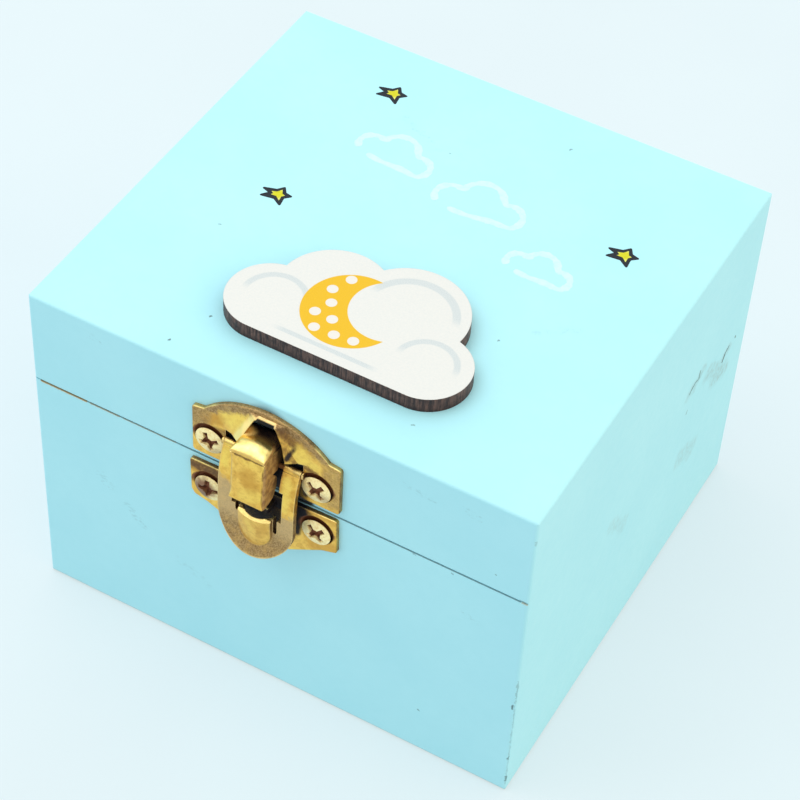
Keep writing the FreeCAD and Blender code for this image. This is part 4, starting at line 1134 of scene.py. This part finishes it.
def patch(u0, v0, ru, rv, dome):
    """A raised painted spot on the head, closed below the surface."""
    verts, faces, seg, levels = [on_head(u0, v0, dome)], [], 28, (0.3, 0.55, 0.78, 0.93, 1.0)
    lifts = [dome * (1 - q ** 3) + 0.03 for q in levels] + [-0.15]
    for q, lift in zip((*levels, 1.0), lifts):
        for j in range(seg):
            a = 2 * math.pi * j / seg
            verts.append(on_head(u0 + ru * q * math.cos(a), v0 + rv * q * math.sin(a), lift))
    faces += [(0, 1 + j, 1 + (j + 1) % seg) for j in range(seg)]
    for r in range(len(lifts) - 1):
        for j in range(seg):
            j2 = (j + 1) % seg
            faces.append((1 + r * seg + j, 1 + r * seg + j2, 1 + (r + 1) * seg + j2, 1 + (r + 1) * seg + j))
    faces.append(tuple(1 + (len(lifts) - 1) * seg + j for j in range(seg)))
    return verts, faces


def face_line(points, half, lift):
    """A painted line on the head that thins out to both ends."""
    path = smooth_path(points, 10)
    n = len(path)
    prof = [(-1.0, -0.12), (-0.8, lift * 0.7), (0.0, lift), (0.8, lift * 0.7), (1.0, -0.12)]
    m = len(prof)
    verts, faces = [], []
    for i, p in enumerate(path):
        a, b = Vector(path[max(0, i - 1)]), Vector(path[min(n - 1, i + 1)])
        t = (b - a).normalized()
        w = half * max(0.12, math.sin(math.pi * (i + 0.5) / n) ** 0.6)
        for u, h in prof:
            verts.append(on_head(p[0] - t.y * w * u, p[1] + t.x * w * u, h))
    for i in range(n - 1):
        for j in range(m):
            j2 = (j + 1) % m
            faces.append((i * m + j, i * m + j2, (i + 1) * m + j2, (i + 1) * m + j))
    faces.append(tuple(range(m)))
    faces.append(tuple((n - 1) * m + j for j in range(m)))
    return verts, faces


for side, word in ((-1, "left"), (1, "right")):
    make("eye_%s" % word, *patch(side * 3.7, 1.5, 0.85, 1.15, 0.22), M_DARK, "jack")
    make("brow_%s" % word, *face_line([(side * 2.4, 3.25), (side * 3.7, 3.65), (side * 5.1, 3.2)], 0.26, 0.10), M_DARK, "jack")
make("mouth", *face_line([(-3.6, -3.7), (-2.0, -4.7), (0.0, -5.1), (2.0, -4.7), (3.6, -3.7)], 0.42, 0.12), M_LIPS, "jack")

# ------------------------------------------------------------------ floor and light
bm = bmesh.new()
bmesh.ops.create_grid(bm, x_segments=8, y_segments=8, size=3.0)
me = bpy.data.meshes.new("floor")
bm.to_mesh(me)
bm.free()
floor = bpy.data.objects.new("floor", me)
scene.collection.objects.link(floor)
fm = Mat("floor")
# a pale acrylic sheet, lit a little from below
fm.set("Base Color", fm.mix(fm.step(fm.noise(0.012, 3), 0.3, 0.7), (0.262, 0.272, 0.300), (0.272, 0.284, 0.312)))
fm.set("Emission Color", fm.mix(fm.step(fm.noise(0.007, 3), 0.3, 0.7), (0.455, 0.572, 0.588), (0.462, 0.582, 0.596)))
fm.set("Emission Strength", 1.0)
fm.set("Roughness", 0.8)
fm.set("Specular IOR Level", 0.1)
assign(floor, fm)

world = bpy.data.worlds.new("world")
world.use_nodes = True
scene.world = world
wt = world.node_tree
bg = wt.nodes["Background"]
tc = wt.nodes.new("ShaderNodeTexCoord")
dot = wt.nodes.new("ShaderNodeVectorMath")
dot.operation = "DOT_PRODUCT"
wt.links.new(tc.outputs["Generated"], dot.inputs[0])
dot.inputs[1].default_value = Vector((-0.20, -0.80, 0.52)).normalized()
mr = wt.nodes.new("ShaderNodeMapRange")
mr.interpolation_type = "SMOOTHSTEP"
wt.links.new(dot.outputs["Value"], mr.inputs["Value"])
mr.inputs["From Min"].default_value = 0.70
mr.inputs["From Max"].default_value = 0.95
mx = wt.nodes.new("ShaderNodeMix")
mx.data_type = "RGBA"
wt.links.new(mr.outputs[0], mx.inputs[0])
mx.inputs[6].default_value = (1.0, 1.0, 1.0, 1.0)
mx.inputs[7].default_value = (0.50, 0.50, 0.50, 1.0)
sp = wt.nodes.new("ShaderNodeSeparateXYZ")
wt.links.new(tc.outputs["Generated"], sp.inputs[0])
wr = wt.nodes.new("ShaderNodeMapRange")
wr.interpolation_type = "SMOOTHSTEP"
wt.links.new(sp.outputs[0], wr.inputs["Value"])
wr.inputs["From Min"].default_value = 0.15
wr.inputs["From Max"].default_value = 0.85
wm = wt.nodes.new("ShaderNodeMix")
wm.data_type = "RGBA"
wt.links.new(wr.outputs[0], wm.inputs[0])
wt.links.new(mx.outputs[2], wm.inputs[6])
wm.inputs[7].default_value = (0.92, 0.82, 0.70, 1.0)
wt.links.new(wm.outputs[2], bg.inputs["Color"])
bg.inputs["Strength"].default_value = 1.22


def area(name, loc, aim, size, power, color=(1, 1, 1)):
    d = bpy.data.lights.new(name, "AREA")
    d.shape = "DISK"
    d.size = size
    d.energy = power
    d.color = color
    o = bpy.data.objects.new(name, d)
    scene.collection.objects.link(o)
    o.location = loc
    o.rotation_euler = (Vector(aim) - Vector(loc)).to_track_quat("-Z", "Y").to_euler()
    return o


area("key", (-0.28, -0.20, 0.82), (0, 0, 0.05), 0.75, 2.2, (1.0, 0.93, 0.87))
area("side", (0.75, 0.05, 0.34), (0, 0, 0.04), 0.50, 0.85, (1.0, 0.66, 0.30))
